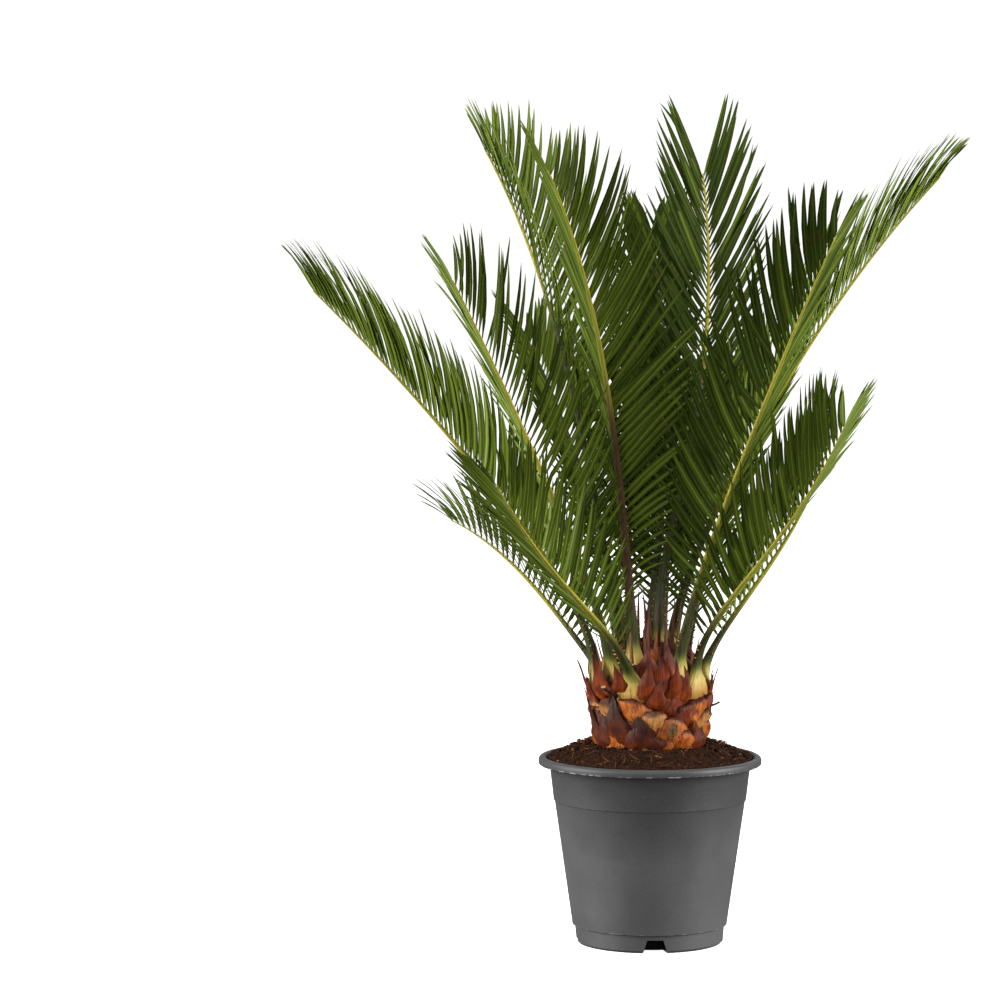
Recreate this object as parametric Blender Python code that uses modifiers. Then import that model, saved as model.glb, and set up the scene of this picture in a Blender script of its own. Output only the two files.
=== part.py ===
"""A young sago palm in its nursery pot.

Metres, +Z up. The origin is the middle of the pot's flat underside, the front faces -Y
and +X is to the right of someone who looks at the front.
"""
import math
from collections import namedtuple

import bmesh
import bpy
from mathutils import Matrix, Vector
from mathutils.bvhtree import BVHTree

# Pot: an injection moulded nursery pot
POT_HEIGHT = 0.126
POT_WALL = 0.0015
POT_FLOOR = 0.002
RIM_RADIUS = 0.075
LIP_HEIGHT = 0.0055
LIP_THICKNESS = 0.0015
WALL_TOP_RADIUS = 0.0675
RIM_INNER_RADIUS = 0.0692
WALL_FOOT_RADIUS = 0.052
FOOT_BAND_HEIGHT = 0.0125
FOOT_RADIUS = 0.0495
SHOULDER_HEIGHT = 0.096
SHOULDER_STEP = 0.0007
BAND_STEP = 0.0018
POT_EDGE = 0.0008
DRAIN_COUNT = 4
DRAIN_TURN = math.radians(-85.4)
DRAIN_TOP_WIDTH = 0.011
DRAIN_FOOT_WIDTH = 0.018
DRAIN_HEIGHT = 0.009
DRAIN_DEPTH = 0.014
TURN_STEPS = 40

# Soil and trunk
GAP = 0.0003
SOIL_SEAT = 0.1297
SOIL_SEAT_RADIUS = 0.0372
SOIL_CREST_RADIUS = 0.044
SOIL_CREST_HEIGHT = 0.1362
SOIL_EDGE_HEIGHT = 0.1258
TRUNK_FOOT = SOIL_SEAT + GAP
TRUNK_FOOT_RADIUS = 0.0368
TRUNK_WIDEST_RADIUS = 0.0385
TRUNK_WIDEST_HEIGHT = 0.172
TRUNK_TOP = 0.204
DOME_STEPS = 5
SCALE_COUNT = 38
SCALE_LOW = 0.146
SCALE_HIGH = 0.190
SCALE_SIZE = Vector((0.0110, 0.0046, 0.0075))
SCALE_SINK = 0.001
SCALE_TILT = math.radians(-12.0)
SPIKE_COUNT = 34
SPIKE_LENGTH = 0.034
SPIKE_WIDTH = 0.0085
SPIKE_THICKNESS = 0.0032
SPIKE_SINK = 0.004
SPIKE_POINT = 0.06
SPIKE_RING_SHARE = 0.92
SPIKE_LEAN_INNER, SPIKE_LEAN_OUTER = math.radians(2.0), math.radians(38.0)
SPIKE_OUTER_SIZE = 0.62
SPIKE_CLEARANCE = Vector((1.2, 1.6, 1.03))
GOLDEN_ANGLE = math.pi * (3.0 - math.sqrt(5.0))

# Fronds: ribs
FOOT_BEND = 0.12
RIB_FOOT_WIDTH = 0.0110
RIB_WIDTH = 0.0066
RIB_TIP_WIDTH = 0.0026
RIB_DEPTH_SHARE = 0.72
FOOT_SWELL_SHARE = 0.05
STALK_SHARE = 0.13
STALK_STATIONS = (0.0, 0.04, 0.08)
PATH_STEPS = 12
FULL_FROND = 0.33
SOCKET_SHARE = 0.16

# Fronds: leaflets
LEAFLET_SPACING = 0.0118
LEAFLET_ROOT = 0.0036
LEAFLET_WIDTH = 0.0068
LEAFLET_THICKNESS = 0.0009
LEAFLET_BASE_LENGTH = 0.050
LEAFLET_LENGTH_SHARE = 0.10
LEAFLET_FIRST_LENGTH, LEAFLET_LAST_LENGTH = 0.25, 0.30
LEAFLET_FULL_FROM, LEAFLET_FULL_TO = 0.42, 0.60
LEAFLET_RISE, LEAFLET_FALL = 1.4, 3.5
LEAFLET_PITCH_SHARE = 0.9
LEAFLET_ROOT_SHIFT = 0.2
LEAFLET_BELLY = 0.55
LEAFLET_CURL = math.radians(8.0)
SPREAD_LOW, SPREAD_MIDDLE, SPREAD_TIP = (math.radians(a) for a in (64.0, 41.0, 20.0))
SPREAD_LEAST = math.radians(14.0)
KEEL_LOW, KEEL_FULL = math.radians(40.0), math.radians(50.0)
KEEL_FULL_FROM = 0.3
LEAFLET_REACHES = (1.0, 0.85, 0.7, 0.55, 0.4)
LEAFLET_CLEARANCE = 0.0004

# Single fronds differ from the rule, in degrees: their leaflets lie closer to the rib, their
# rows are folded up further, or one row is raised and the other lowered.
CLOSED = {"frond_left_outer": 6.0, "frond_right_tall": 12.0, "frond_centre_tall": -4.0}
FOLDS = {"frond_left_outer": 6.0, "frond_left_tall": 8.0, "frond_front_tall": -8.0}
ROLLS = {"frond_left_front": -15.0, "frond_front_low": -17.0, "frond_front_tall": 5.0,
         "frond_right_front": 22.0, "frond_right_low": 20.0}
LAST_LENGTHS = {"frond_centre_tall": 0.72, "frond_left_outer": 0.45}

# Angles in degrees: azimuth runs from +X towards +Y, a lean is measured from upright.
# A frond leaves its foot at foot_lean, soon settles to mid_lean and arches on to tip_lean,
# while its azimuth turns by sweep. Its foot lies at foot_azimuth, foot_radius, foot_height.
Frond = namedtuple("Frond", "name azimuth sweep length foot_lean mid_lean tip_lean "
                            "foot_azimuth foot_radius foot_height")
FRONDS = (
    Frond("frond_left_outer", 180, 0, 0.323, 1, 38, 46, 184, 0.037, 0.181),
    Frond("frond_left_front", 226, 0, 0.300, 11, 30, 34, 218, 0.033, 0.187),
    Frond("frond_front_low", 244, 0, 0.240, 28, 63, 46, 250, 0.036, 0.180),
    Frond("frond_left_low", 150, -7, 0.159, 45, 42, 73, 158, 0.036, 0.182),
    Frond("frond_left_tall", 135, 2, 0.365, 14, 13, 38, 140, 0.026, 0.196),
    Frond("frond_front_tall", 238, 2, 0.345, 7, 8, 40, 244, 0.025, 0.196),
    Frond("frond_centre_tall", 50, 51, 0.357, -18, 34, 31, 40, 0.010, 0.202),
    Frond("frond_right_front", -42, 3, 0.318, 8, 25, 29, -50, 0.030, 0.188),
    Frond("frond_right_tall", 8, 0, 0.366, 4, 27, 44, 40, 0.020, 0.200),
    Frond("frond_right_low", -38, 0, 0.215, -6, 48, 27, -31, 0.036, 0.180),
    Frond("frond_right_outer", 18, 0, 0.197, 14, 43, 10, 8, 0.036, 0.181),
    Frond("frond_back_tall", 70, 35, 0.308, 12, 24, 36, 92, 0.021, 0.198),
    Frond("frond_back_left", 114, 0, 0.285, 15, 38, 54, 114, 0.034, 0.185),
    Frond("frond_back_middle", 86, 0, 0.270, 18, 46, 60, 77, 0.034, 0.183),
    Frond("frond_back_right", 62, 0, 0.258, 14, 36, 50, 50, 0.035, 0.183),
)


def clear_scene():
    """Removes whatever the opened file holds."""
    for old in list(bpy.data.objects):
        bpy.data.objects.remove(old, do_unlink=True)


def new_collection(name):
    collection = bpy.data.collections.new(name)
    bpy.context.scene.collection.children.link(collection)
    return collection


def new_material(name, colour, roughness, metallic=0.0):
    material = bpy.data.materials.new(name)
    material.use_nodes = True
    shader = material.node_tree.nodes["Principled BSDF"]
    shader.inputs["Base Color"].default_value = (*colour, 1.0)
    shader.inputs["Roughness"].default_value = roughness
    shader.inputs["Metallic"].default_value = metallic
    return material


def plastic_material():
    return new_material("pot_plastic", (0.095, 0.095, 0.095), 0.55)


def soil_material():
    return new_material("potting_soil", (0.040, 0.017, 0.011), 0.95)


def trunk_material():
    return new_material("trunk_scales", (0.170, 0.050, 0.018), 0.8)


def frond_material():
    return new_material("frond_green", (0.035, 0.062, 0.012), 0.45)


def add_object(name, mesh, collection, material=None):
    obj = bpy.data.objects.new(name, mesh)
    collection.objects.link(obj)
    if material:
        mesh.materials.append(material)
    return obj


def mesh_from(name, bm):
    mesh = bpy.data.meshes.new(name)
    bm.to_mesh(mesh)
    bm.free()
    return mesh


def turned(name, profile, collection, material):
    """A profile of radii and heights turned about Z, with its outer side running down."""
    bm = bmesh.new()
    verts = [bm.verts.new((radius, 0.0, height)) for radius, height in profile]
    for upper, lower in zip(verts, verts[1:]):
        bm.edges.new((upper, lower))
    obj = add_object(name, mesh_from(name, bm), collection, material)
    screw = obj.modifiers.new("turn", "SCREW")
    screw.steps = TURN_STEPS
    screw.render_steps = TURN_STEPS
    screw.use_merge_vertices = True
    screw.merge_threshold = 0.00001
    return obj


def hide_cutter(obj):
    obj.hide_render = True
    obj.display_type = "WIRE"


def evaluated_mesh(obj):
    """The object's mesh with its modifiers applied."""
    bpy.context.view_layer.update()
    graph = bpy.context.evaluated_depsgraph_get()
    return bpy.data.meshes.new_from_object(obj.evaluated_get(graph))


def apply_modifiers(obj):
    applied = evaluated_mesh(obj)
    obj.modifiers.clear()
    obj.data = applied


def shade_round(obj):
    obj.data.shade_smooth()
    obj.data.set_sharp_from_angle(angle=math.radians(40.0))


# Pot

def wall_radius(height):
    """Outer radius of the pot's plain wall, without the shoulder."""
    share = (height - FOOT_BAND_HEIGHT) / (POT_HEIGHT - LIP_HEIGHT - FOOT_BAND_HEIGHT)
    return WALL_FOOT_RADIUS + (WALL_TOP_RADIUS - WALL_FOOT_RADIUS) * share


def pot_profile():
    """From the middle of the floor up the inside, over the rim and down the outside."""
    lip_foot = POT_HEIGHT - LIP_HEIGHT
    inner_foot = FOOT_RADIUS - POT_WALL
    shoulder = wall_radius(SHOULDER_HEIGHT)
    channel_top = POT_HEIGHT - LIP_THICKNESS
    inside = [
        (0.0, POT_FLOOR),
        (inner_foot - POT_EDGE, POT_FLOOR),
        (inner_foot, POT_FLOOR + POT_EDGE),
        (wall_radius(FOOT_BAND_HEIGHT) - BAND_STEP - POT_WALL, FOOT_BAND_HEIGHT),
        (WALL_TOP_RADIUS - POT_WALL, lip_foot),
        (RIM_INNER_RADIUS, POT_HEIGHT - LIP_THICKNESS),
        (RIM_INNER_RADIUS + 2 * POT_EDGE, POT_HEIGHT),
    ]
    lip = [
        (RIM_RADIUS - 2 * POT_EDGE, POT_HEIGHT),
        (RIM_RADIUS, POT_HEIGHT - 2 * POT_EDGE),
        (RIM_RADIUS, lip_foot + POT_EDGE),
        (RIM_RADIUS - POT_EDGE, lip_foot),
        (RIM_RADIUS - LIP_THICKNESS, lip_foot),
        (RIM_RADIUS - LIP_THICKNESS, channel_top),
        (RIM_INNER_RADIUS + LIP_THICKNESS, channel_top),
    ]
    outside = [
        (WALL_TOP_RADIUS, lip_foot),
        (shoulder + SHOULDER_STEP, SHOULDER_HEIGHT + SHOULDER_STEP),
        (shoulder, SHOULDER_HEIGHT),
        (WALL_FOOT_RADIUS, FOOT_BAND_HEIGHT),
        (WALL_FOOT_RADIUS - BAND_STEP, FOOT_BAND_HEIGHT - SHOULDER_STEP),
        (FOOT_RADIUS, 2 * POT_EDGE),
        (FOOT_RADIUS - 2 * POT_EDGE, 0.0),
        (0.0, 0.0),
    ]
    return inside + lip + outside


def drain_cutter(index, cutters):
    """A wedge, wider at the foot, that opens the corner between wall and floor."""
    bm = bmesh.new()
    bmesh.ops.create_cube(bm, size=1.0)
    outer = FOOT_RADIUS + DRAIN_DEPTH
    for vert in bm.verts:
        low = vert.co.z < 0.0
        width = DRAIN_FOOT_WIDTH if low else DRAIN_TOP_WIDTH
        height = -POT_FLOOR if low else DRAIN_HEIGHT
        reach = outer if vert.co.x > 0.0 else FOOT_RADIUS - DRAIN_DEPTH
        vert.co = (reach, math.copysign(width / 2.0, vert.co.y), height)
    cutter = add_object(f"drain_cutter_{index + 1}", mesh_from("drain_cutter", bm), cutters)
    cutter.rotation_euler.z = DRAIN_TURN + index * math.tau / DRAIN_COUNT
    hide_cutter(cutter)


def build_pot(parts, cutters):
    pot = turned("pot", pot_profile(), parts, plastic_material())
    for index in range(DRAIN_COUNT):
        drain_cutter(index, cutters)
    cut = pot.modifiers.new("drains", "BOOLEAN")
    cut.operation = "DIFFERENCE"
    cut.operand_type = "COLLECTION"
    cut.collection = cutters
    shade_round(pot)
    return pot


# Soil

def soil_profile():
    """Down from the seat under the trunk, over the mounded surface and down the pot's wall."""
    lip_foot = POT_HEIGHT - LIP_HEIGHT
    rim = RIM_INNER_RADIUS - GAP
    foot = FOOT_RADIUS - POT_WALL - POT_EDGE - GAP
    return [
        (0.0, SOIL_SEAT),
        (SOIL_SEAT_RADIUS, SOIL_SEAT),
        (SOIL_SEAT_RADIUS + GAP, SOIL_CREST_HEIGHT - POT_EDGE),
        (SOIL_CREST_RADIUS, SOIL_CREST_HEIGHT),
        (0.5 * (SOIL_CREST_RADIUS + rim), 0.65 * SOIL_CREST_HEIGHT + 0.35 * SOIL_EDGE_HEIGHT),
        (rim, SOIL_EDGE_HEIGHT),
        (rim, POT_HEIGHT - LIP_THICKNESS),
        (WALL_TOP_RADIUS - POT_WALL - GAP, lip_foot),
        (wall_radius(FOOT_BAND_HEIGHT) - BAND_STEP - POT_WALL - GAP, FOOT_BAND_HEIGHT),
        (foot, POT_FLOOR + POT_EDGE + GAP),
        (foot - POT_EDGE, POT_FLOOR + GAP),
        (0.0, POT_FLOOR + GAP),
    ]


def build_soil(parts):
    soil = turned("soil", soil_profile(), parts, soil_material())
    shade_round(soil)
    return soil


# Ribs of the fronds

def blend(low, high, share):
    return low + (high - low) * share


def heading(frond, share):
    """Azimuth and lean of the rib, in radians, at a share of its length."""
    settle = 1.0 - math.exp(-share / FOOT_BEND)
    lean = blend(frond.foot_lean, frond.mid_lean, settle)
    lean += (frond.tip_lean - frond.mid_lean) * share * share
    return math.radians(frond.azimuth + frond.sweep * share), math.radians(lean)


def directions(azimuth, lean):
    """Along the rib, to its side, and out of its upper face."""
    level = Vector((math.cos(azimuth), math.sin(azimuth), 0.0))
    along = level * math.sin(lean) + Vector((0.0, 0.0, math.cos(lean)))
    side = Vector((math.sin(azimuth), -math.cos(azimuth), 0.0))
    return along, side, side.cross(along)


RibPoint = namedtuple("RibPoint", "share place along side upper width")


def rib_width(frond, share):
    """The foot is swollen, and the rib then tapers to its tip."""
    size = math.sqrt(frond.length / FULL_FROND)
    taper = blend(RIB_WIDTH, RIB_TIP_WIDTH, share ** 0.8)
    swell = (RIB_FOOT_WIDTH - RIB_WIDTH) * math.exp(-((share / FOOT_SWELL_SHARE) ** 2))
    return (taper + swell) * size


def foot_place(frond):
    turn = math.radians(frond.foot_azimuth)
    return Vector((math.cos(turn), math.sin(turn), 0.0)) * frond.foot_radius + Vector(
        (0.0, 0.0, frond.foot_height))


def rib_points(frond, shares):
    """The rib's centre line, worked out by small steps along its heading."""
    points = []
    place = foot_place(frond)
    start = 0.0
    for share in shares:
        step = (share - start) / PATH_STEPS
        for k in range(PATH_STEPS):
            along = directions(*heading(frond, start + (k + 0.5) * step))[0]
            place = place + along * step * frond.length
        start = share
        points.append(RibPoint(share, place.copy(), *directions(*heading(frond, share)),
                               rib_width(frond, share)))
    return points


def leaflet_shares(frond):
    """Evenly spaced places of the leaflet pairs, from the end of the stalk to the tip."""
    leafy = frond.length * (1.0 - STALK_SHARE)
    count = round(leafy / LEAFLET_SPACING)
    return [STALK_SHARE + (1.0 - STALK_SHARE) * (k + 0.5) / count for k in range(count)]


def rib_section(point, grow=0.0):
    """Three corners round the rib: its ridge, and its right and left edges."""
    half = point.width / 2.0 + grow
    depth = half * RIB_DEPTH_SHARE
    return [
        point.place + point.upper * depth,
        point.place + point.side * half - point.upper * depth,
        point.place - point.side * half - point.upper * depth,
    ]


def push_face(bm, face, places):
    """Extrudes one face and puts its corners at the given places."""
    pushed = bmesh.ops.extrude_discrete_faces(bm, faces=[face])["faces"][0]
    for vert, place in zip(pushed.verts, places):
        vert.co = place
    return pushed


def start_rib(points, grow=0.0):
    """A closed three-sided bar between the first two points; returns it with its end face."""
    bm = bmesh.new()
    bmesh.ops.create_cone(bm, cap_ends=True, segments=3, radius1=1.0, radius2=1.0, depth=2.0)
    bm.faces.ensure_lookup_table()
    end = max((face for face in bm.faces if len(face.verts) == 3),
              key=lambda face: face.calc_center_median().z)
    foot, top = rib_section(points[0], grow), rib_section(points[1], grow)
    for vert, low, high in zip(end.verts, foot, top):
        below = next(edge.other_vert(vert) for edge in vert.link_edges
                     if edge.other_vert(vert) not in end.verts)
        vert.co = high
        below.co = low
    return bm, end


def side_faces(bm, end):
    """The faces just made on the right and the left of the rib's ridge."""
    ridge, right, left = end.verts
    faces = []
    for edge in (bm.edges.get((ridge, right)), bm.edges.get((left, ridge))):
        faces.append(next(face for face in edge.link_faces if face != end))
    return faces


def build_rib(frond):
    """The bare rib, and the windows on it that the leaflets grow from."""
    half_root = LEAFLET_ROOT / 2.0 / frond.length
    shares = list(STALK_STATIONS)
    for share in leaflet_shares(frond):
        shares += [share - half_root, share + half_root]
    points = rib_points(frond, shares)
    bm, end = start_rib(points)
    windows = []
    for index in range(2, len(points)):
        end = push_face(bm, end, rib_section(points[index]))
        if index >= len(STALK_STATIONS) + 1 and (index - len(STALK_STATIONS)) % 2:
            middle = rib_points(frond, [(points[index - 1].share + points[index].share) / 2.0])
            windows += [(face, middle[0], sign)
                        for face, sign in zip(side_faces(bm, end), (1.0, -1.0))]
    return bm, windows


def rib_cutter(frond, collection):
    """The foot of a rib grown by the gap, which cuts its socket in the trunk."""
    shares = [0.0, *[SOCKET_SHARE * k / 4.0 for k in range(1, 5)]]
    points = rib_points(frond, shares)
    first = points[0]
    points[0] = first._replace(place=first.place - first.along * GAP)
    bm, end = start_rib(points, GAP)
    for point in points[2:]:
        end = push_face(bm, end, rib_section(point, GAP))
    add_object(f"socket_{frond.name}", mesh_from("socket", bm), collection)


# Leaflets

Blade = namedtuple("Blade", "root belly tip width thickness half")


def leaflet_length(frond, leafy):
    """Leaflets lengthen from the stalk to the middle of the frond and shorten to its tip."""
    longest = LEAFLET_BASE_LENGTH + LEAFLET_LENGTH_SHARE * frond.length
    rise = 1.0 - min(leafy / LEAFLET_FULL_FROM, 1.0)
    fall = max((leafy - LEAFLET_FULL_TO) / (1.0 - LEAFLET_FULL_TO), 0.0)
    last = LAST_LENGTHS.get(frond.name, LEAFLET_LAST_LENGTH)
    return longest * blend(1.0, LEAFLET_FIRST_LENGTH, rise ** LEAFLET_RISE) * blend(
        1.0, last, fall ** LEAFLET_FALL)


def leaflet_spread(frond, leafy):
    """The angle between a leaflet and the rib narrows towards the frond's tip."""
    if leafy < 0.5:
        spread = blend(SPREAD_LOW, SPREAD_MIDDLE, leafy * 2.0)
    else:
        spread = blend(SPREAD_MIDDLE, SPREAD_TIP, leafy * 2.0 - 1.0)
    closed = math.radians(CLOSED.get(frond.name, 0.0)) * min(leafy * 2.0, 1.0)
    return max(spread - closed, SPREAD_LEAST)


def leaflet_keel(frond, leafy, sign):
    """The angle by which a row of leaflets is folded up from flat."""
    lift = FOLDS.get(frond.name, 0.0) + sign * ROLLS.get(frond.name, 0.0)
    return blend(KEEL_LOW, KEEL_FULL, min(leafy / KEEL_FULL_FROM, 1.0)) + math.radians(lift)


def leaflet_blade(frond, point, sign, reach):
    """The middle line of one leaflet, with its width and thickness directions."""
    leafy = (point.share - STALK_SHARE) / (1.0 - STALK_SHARE)
    spread = leaflet_spread(frond, leafy)
    keel = leaflet_keel(frond, leafy, sign)
    pitch = LEAFLET_SPACING * math.sin(spread + LEAFLET_CURL)
    half = min(LEAFLET_WIDTH, LEAFLET_PITCH_SHARE * pitch) / 2.0
    length = leaflet_length(frond, leafy) * reach
    outward = point.side * sign * math.cos(keel) + point.upper * math.sin(keel)
    ways = [point.along * math.cos(angle) + outward * math.sin(angle)
            for angle in (spread + LEAFLET_CURL, spread - LEAFLET_CURL)]
    root = point.place + outward * point.width * LEAFLET_ROOT_SHIFT
    belly = root + ways[0] * length * LEAFLET_BELLY
    tip = belly + ways[1] * length * (1.0 - LEAFLET_BELLY)
    across = (point.along - ways[0] * point.along.dot(ways[0])).normalized()
    normal = across.cross(ways[0])
    if normal.dot(point.upper) < 0.0:
        normal.negate()
    return Blade(root, belly, tip, across, normal, half)


def belly_place(blade, lengthwise, upward, grow=0.0):
    """A corner of the leaflet at its widest, on the given edge and face."""
    return (blade.belly + blade.width * lengthwise * (blade.half + grow)
            + blade.thickness * upward * (LEAFLET_THICKNESS / 2.0 + grow))


def leaflet_tree(face, blade):
    """A slightly larger leaflet, to test what it would touch."""
    centre = face.calc_center_median()
    outward = (blade.belly - centre) * 0.1
    verts = [centre + outward + (vert.co - centre) for vert in face.verts]
    verts += [belly_place(blade, *corner, LEAFLET_CLEARANCE) for corner in corner_signs(face, blade)]
    verts.append(blade.tip + (blade.tip - blade.belly).normalized() * LEAFLET_CLEARANCE)
    sides = [(k, (k + 1) % 4, 4 + (k + 1) % 4, 4 + k) for k in range(4)]
    ends = [(4 + k, 4 + (k + 1) % 4, 8) for k in range(4)]
    return BVHTree.FromPolygons(verts, sides + ends)


def corner_signs(face, blade):
    """Which edge and which face of the leaflet each corner of its window leads to."""
    centre = face.calc_center_median()
    return [(math.copysign(1.0, (vert.co - centre).dot(blade.width)),
             math.copysign(1.0, (vert.co - centre).dot(blade.thickness)))
            for vert in face.verts]


def grow_leaflet(bm, face, blade):
    """Extrudes a leaflet from its window to its belly, and on to its point."""
    places = [belly_place(blade, *corner) for corner in corner_signs(face, blade)]
    belly = push_face(bm, face, places)
    tip = push_face(bm, belly, places)
    bmesh.ops.pointmerge(bm, verts=list(tip.verts), merge_co=blade.tip)


def grow_leaflets(frond, bm, windows, neighbours):
    """Each leaflet takes the longest reach that touches no neighbour, or is left out."""
    grown = 0
    for face, point, sign in windows:
        for reach in LEAFLET_REACHES:
            blade = leaflet_blade(frond, point, sign, reach)
            tree = leaflet_tree(face, blade)
            if not any(tree.overlap(other) for other in neighbours):
                grow_leaflet(bm, face, blade)
                grown += 1
                break
    return grown


# Trunk

def trunk_profile():
    """A barrel with a domed top and a flat foot."""
    dome = []
    for step in range(DOME_STEPS + 1):
        angle = step / DOME_STEPS * math.pi / 2.0
        height = blend(TRUNK_WIDEST_HEIGHT, TRUNK_TOP, math.cos(angle))
        dome.append((TRUNK_WIDEST_RADIUS * math.sin(angle), height))
    return dome + [
        (TRUNK_WIDEST_RADIUS, SCALE_LOW),
        (TRUNK_FOOT_RADIUS, TRUNK_FOOT),
        (0.0, TRUNK_FOOT),
    ]


def scale_mesh():
    """A leaf base that is left on the trunk: a pillow, wider than tall."""
    bm = bmesh.new()
    bmesh.ops.create_icosphere(bm, subdivisions=1, radius=1.0,
                               matrix=Matrix.Diagonal((*SCALE_SIZE, 1.0)))
    return mesh_from("leaf_base", bm)


def spike_mesh():
    """A flat pointed scale, standing on its wide end."""
    bm = bmesh.new()
    squash = Matrix.Diagonal((SPIKE_WIDTH / 2.0, SPIKE_THICKNESS / 2.0, SPIKE_LENGTH, 1.0))
    bmesh.ops.create_cone(bm, cap_ends=True, segments=4, radius1=1.0, radius2=SPIKE_POINT,
                          depth=1.0, matrix=squash @ Matrix.Translation((0.0, 0.0, 0.5)))
    return mesh_from("pointed_scale", bm)


def place_scales(collection):
    """Leaf bases in a golden-angle spiral up the side of the trunk."""
    mesh = scale_mesh()
    for index in range(SCALE_COUNT):
        share = index / (SCALE_COUNT - 1)
        turn = index * GOLDEN_ANGLE
        height = blend(SCALE_LOW, SCALE_HIGH, share)
        rise = max(height - TRUNK_WIDEST_HEIGHT, 0.0) / (TRUNK_TOP - TRUNK_WIDEST_HEIGHT)
        radius = TRUNK_WIDEST_RADIUS * math.sqrt(1.0 - rise * rise) - SCALE_SINK
        scale = add_object(f"leaf_base_{index + 1}", mesh, collection)
        scale.location = (radius * math.cos(turn), radius * math.sin(turn), height)
        scale.rotation_euler = (SCALE_TILT, 0.0, turn - math.pi / 2.0)


def place_spikes(collection, ribs):
    """Pointed scales over the top of the trunk, where no frond's foot stands."""
    mesh = spike_mesh()
    for index in range(SPIKE_COUNT):
        share = math.sqrt((index + 0.5) / SPIKE_COUNT)
        turn = index * GOLDEN_ANGLE
        lean = blend(SPIKE_LEAN_INNER, SPIKE_LEAN_OUTER, share)
        radius = TRUNK_WIDEST_RADIUS * SPIKE_RING_SHARE * share
        rise = math.sqrt(1.0 - (SPIKE_RING_SHARE * share) ** 2)
        height = blend(TRUNK_WIDEST_HEIGHT, TRUNK_TOP, rise) - SPIKE_SINK
        size = blend(1.0, SPIKE_OUTER_SIZE, share)
        place = (Matrix.Translation((radius * math.cos(turn), radius * math.sin(turn), height))
                 @ Matrix.Rotation(turn - math.pi / 2.0, 4, "Z")
                 @ Matrix.Rotation(-lean, 4, "X") @ Matrix.Diagonal((1.0, 1.0, size, 1.0)))
        bm = bmesh.new()
        bm.from_mesh(mesh)
        bm.transform(place @ Matrix.Diagonal((*SPIKE_CLEARANCE, 1.0)))
        tree = BVHTree.FromBMesh(bm)
        bm.free()
        if not any(tree.overlap(rib) for rib in ribs):
            spike = add_object(f"pointed_scale_{index + 1}", mesh, collection)
            spike.matrix_world = place


def add_boolean(obj, operation, collection):
    join = obj.modifiers.new(operation.lower(), "BOOLEAN")
    join.operation = operation
    join.operand_type = "COLLECTION"
    join.collection = collection
    join.solver = "MANIFOLD"


def drop_scraps(obj):
    """Keeps the largest connected piece of a mesh."""
    bm = bmesh.new()
    bm.from_mesh(obj.data)
    unseen = set(bm.verts)
    pieces = []
    while unseen:
        frontier = [unseen.pop()]
        piece = set(frontier)
        while frontier:
            vert = frontier.pop()
            found = {edge.other_vert(vert) for edge in vert.link_edges} & unseen
            unseen -= found
            piece |= found
            frontier += found
        pieces.append(piece)
    pieces.sort(key=len)
    for piece in pieces[:-1]:
        bmesh.ops.delete(bm, geom=list(piece), context="VERTS")
    bm.to_mesh(obj.data)
    bm.free()


def remove_collection(collection):
    for obj in list(collection.objects):
        bpy.data.objects.remove(obj, do_unlink=True)
    bpy.data.collections.remove(collection)


def build_trunk(parts, ribs):
    """The core with its leaf bases and pointed scales fused on, less the fronds' sockets."""
    trunk = turned("trunk", trunk_profile(), parts, trunk_material())
    scales = new_collection("trunk scales")
    sockets = new_collection("frond sockets")
    place_scales(scales)
    place_spikes(scales, ribs)
    for frond in FRONDS:
        rib_cutter(frond, sockets)
    add_boolean(trunk, "UNION", scales)
    add_boolean(trunk, "DIFFERENCE", sockets)
    apply_modifiers(trunk)
    drop_scraps(trunk)
    remove_collection(scales)
    remove_collection(sockets)
    return trunk


def build_fronds(parts, bones, trunk):
    """Grows each frond's leaflets clear of the trunk, the ribs and the fronds before it."""
    material = frond_material()
    bm = bmesh.new()
    bm.from_mesh(trunk.data)
    trunk_tree = BVHTree.FromBMesh(bm)
    bm.free()
    trees = [BVHTree.FromBMesh(bone) for bone, _ in bones]
    for index, (frond, (bone, windows)) in enumerate(zip(FRONDS, bones)):
        neighbours = [trunk_tree] + trees[:index] + trees[index + 1:]
        grown = grow_leaflets(frond, bone, windows, neighbours)
        trees[index] = BVHTree.FromBMesh(bone)
        foot = foot_place(frond)
        bmesh.ops.translate(bone, verts=bone.verts, vec=-foot)
        obj = add_object(frond.name, mesh_from(frond.name, bone), parts, material)
        obj.location = foot
        print(f"{frond.name}: {grown} of {len(windows)} leaflets")


def main():
    clear_scene()
    parts = new_collection("sago palm in a pot")
    cutters = new_collection("cutters")
    build_pot(parts, cutters)
    build_soil(parts)
    bones = [build_rib(frond) for frond in FRONDS]
    trunk = build_trunk(parts, [BVHTree.FromBMesh(bone) for bone, _ in bones])
    build_fronds(parts, bones, trunk)


main()
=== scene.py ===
# %% [markdown]
# # Sago palm in a nursery pot
#
# The plant is a young cycad: a short trunk clad in old leaf bases and papery scales, and a
# crown of stiff, feather-shaped fronds. It stands in a grey nursery pot that is filled with
# dark potting soil.
#
# The CAD model gives the true sizes and the space that each part fills. This script loads it,
# leaves it where it is, and dresses each of its nodes with a finer piece.

import math
import random
from collections import namedtuple

import bmesh
import bpy
import numpy as np
from mathutils import Matrix, Vector, noise
from mathutils.bvhtree import BVHTree


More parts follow.
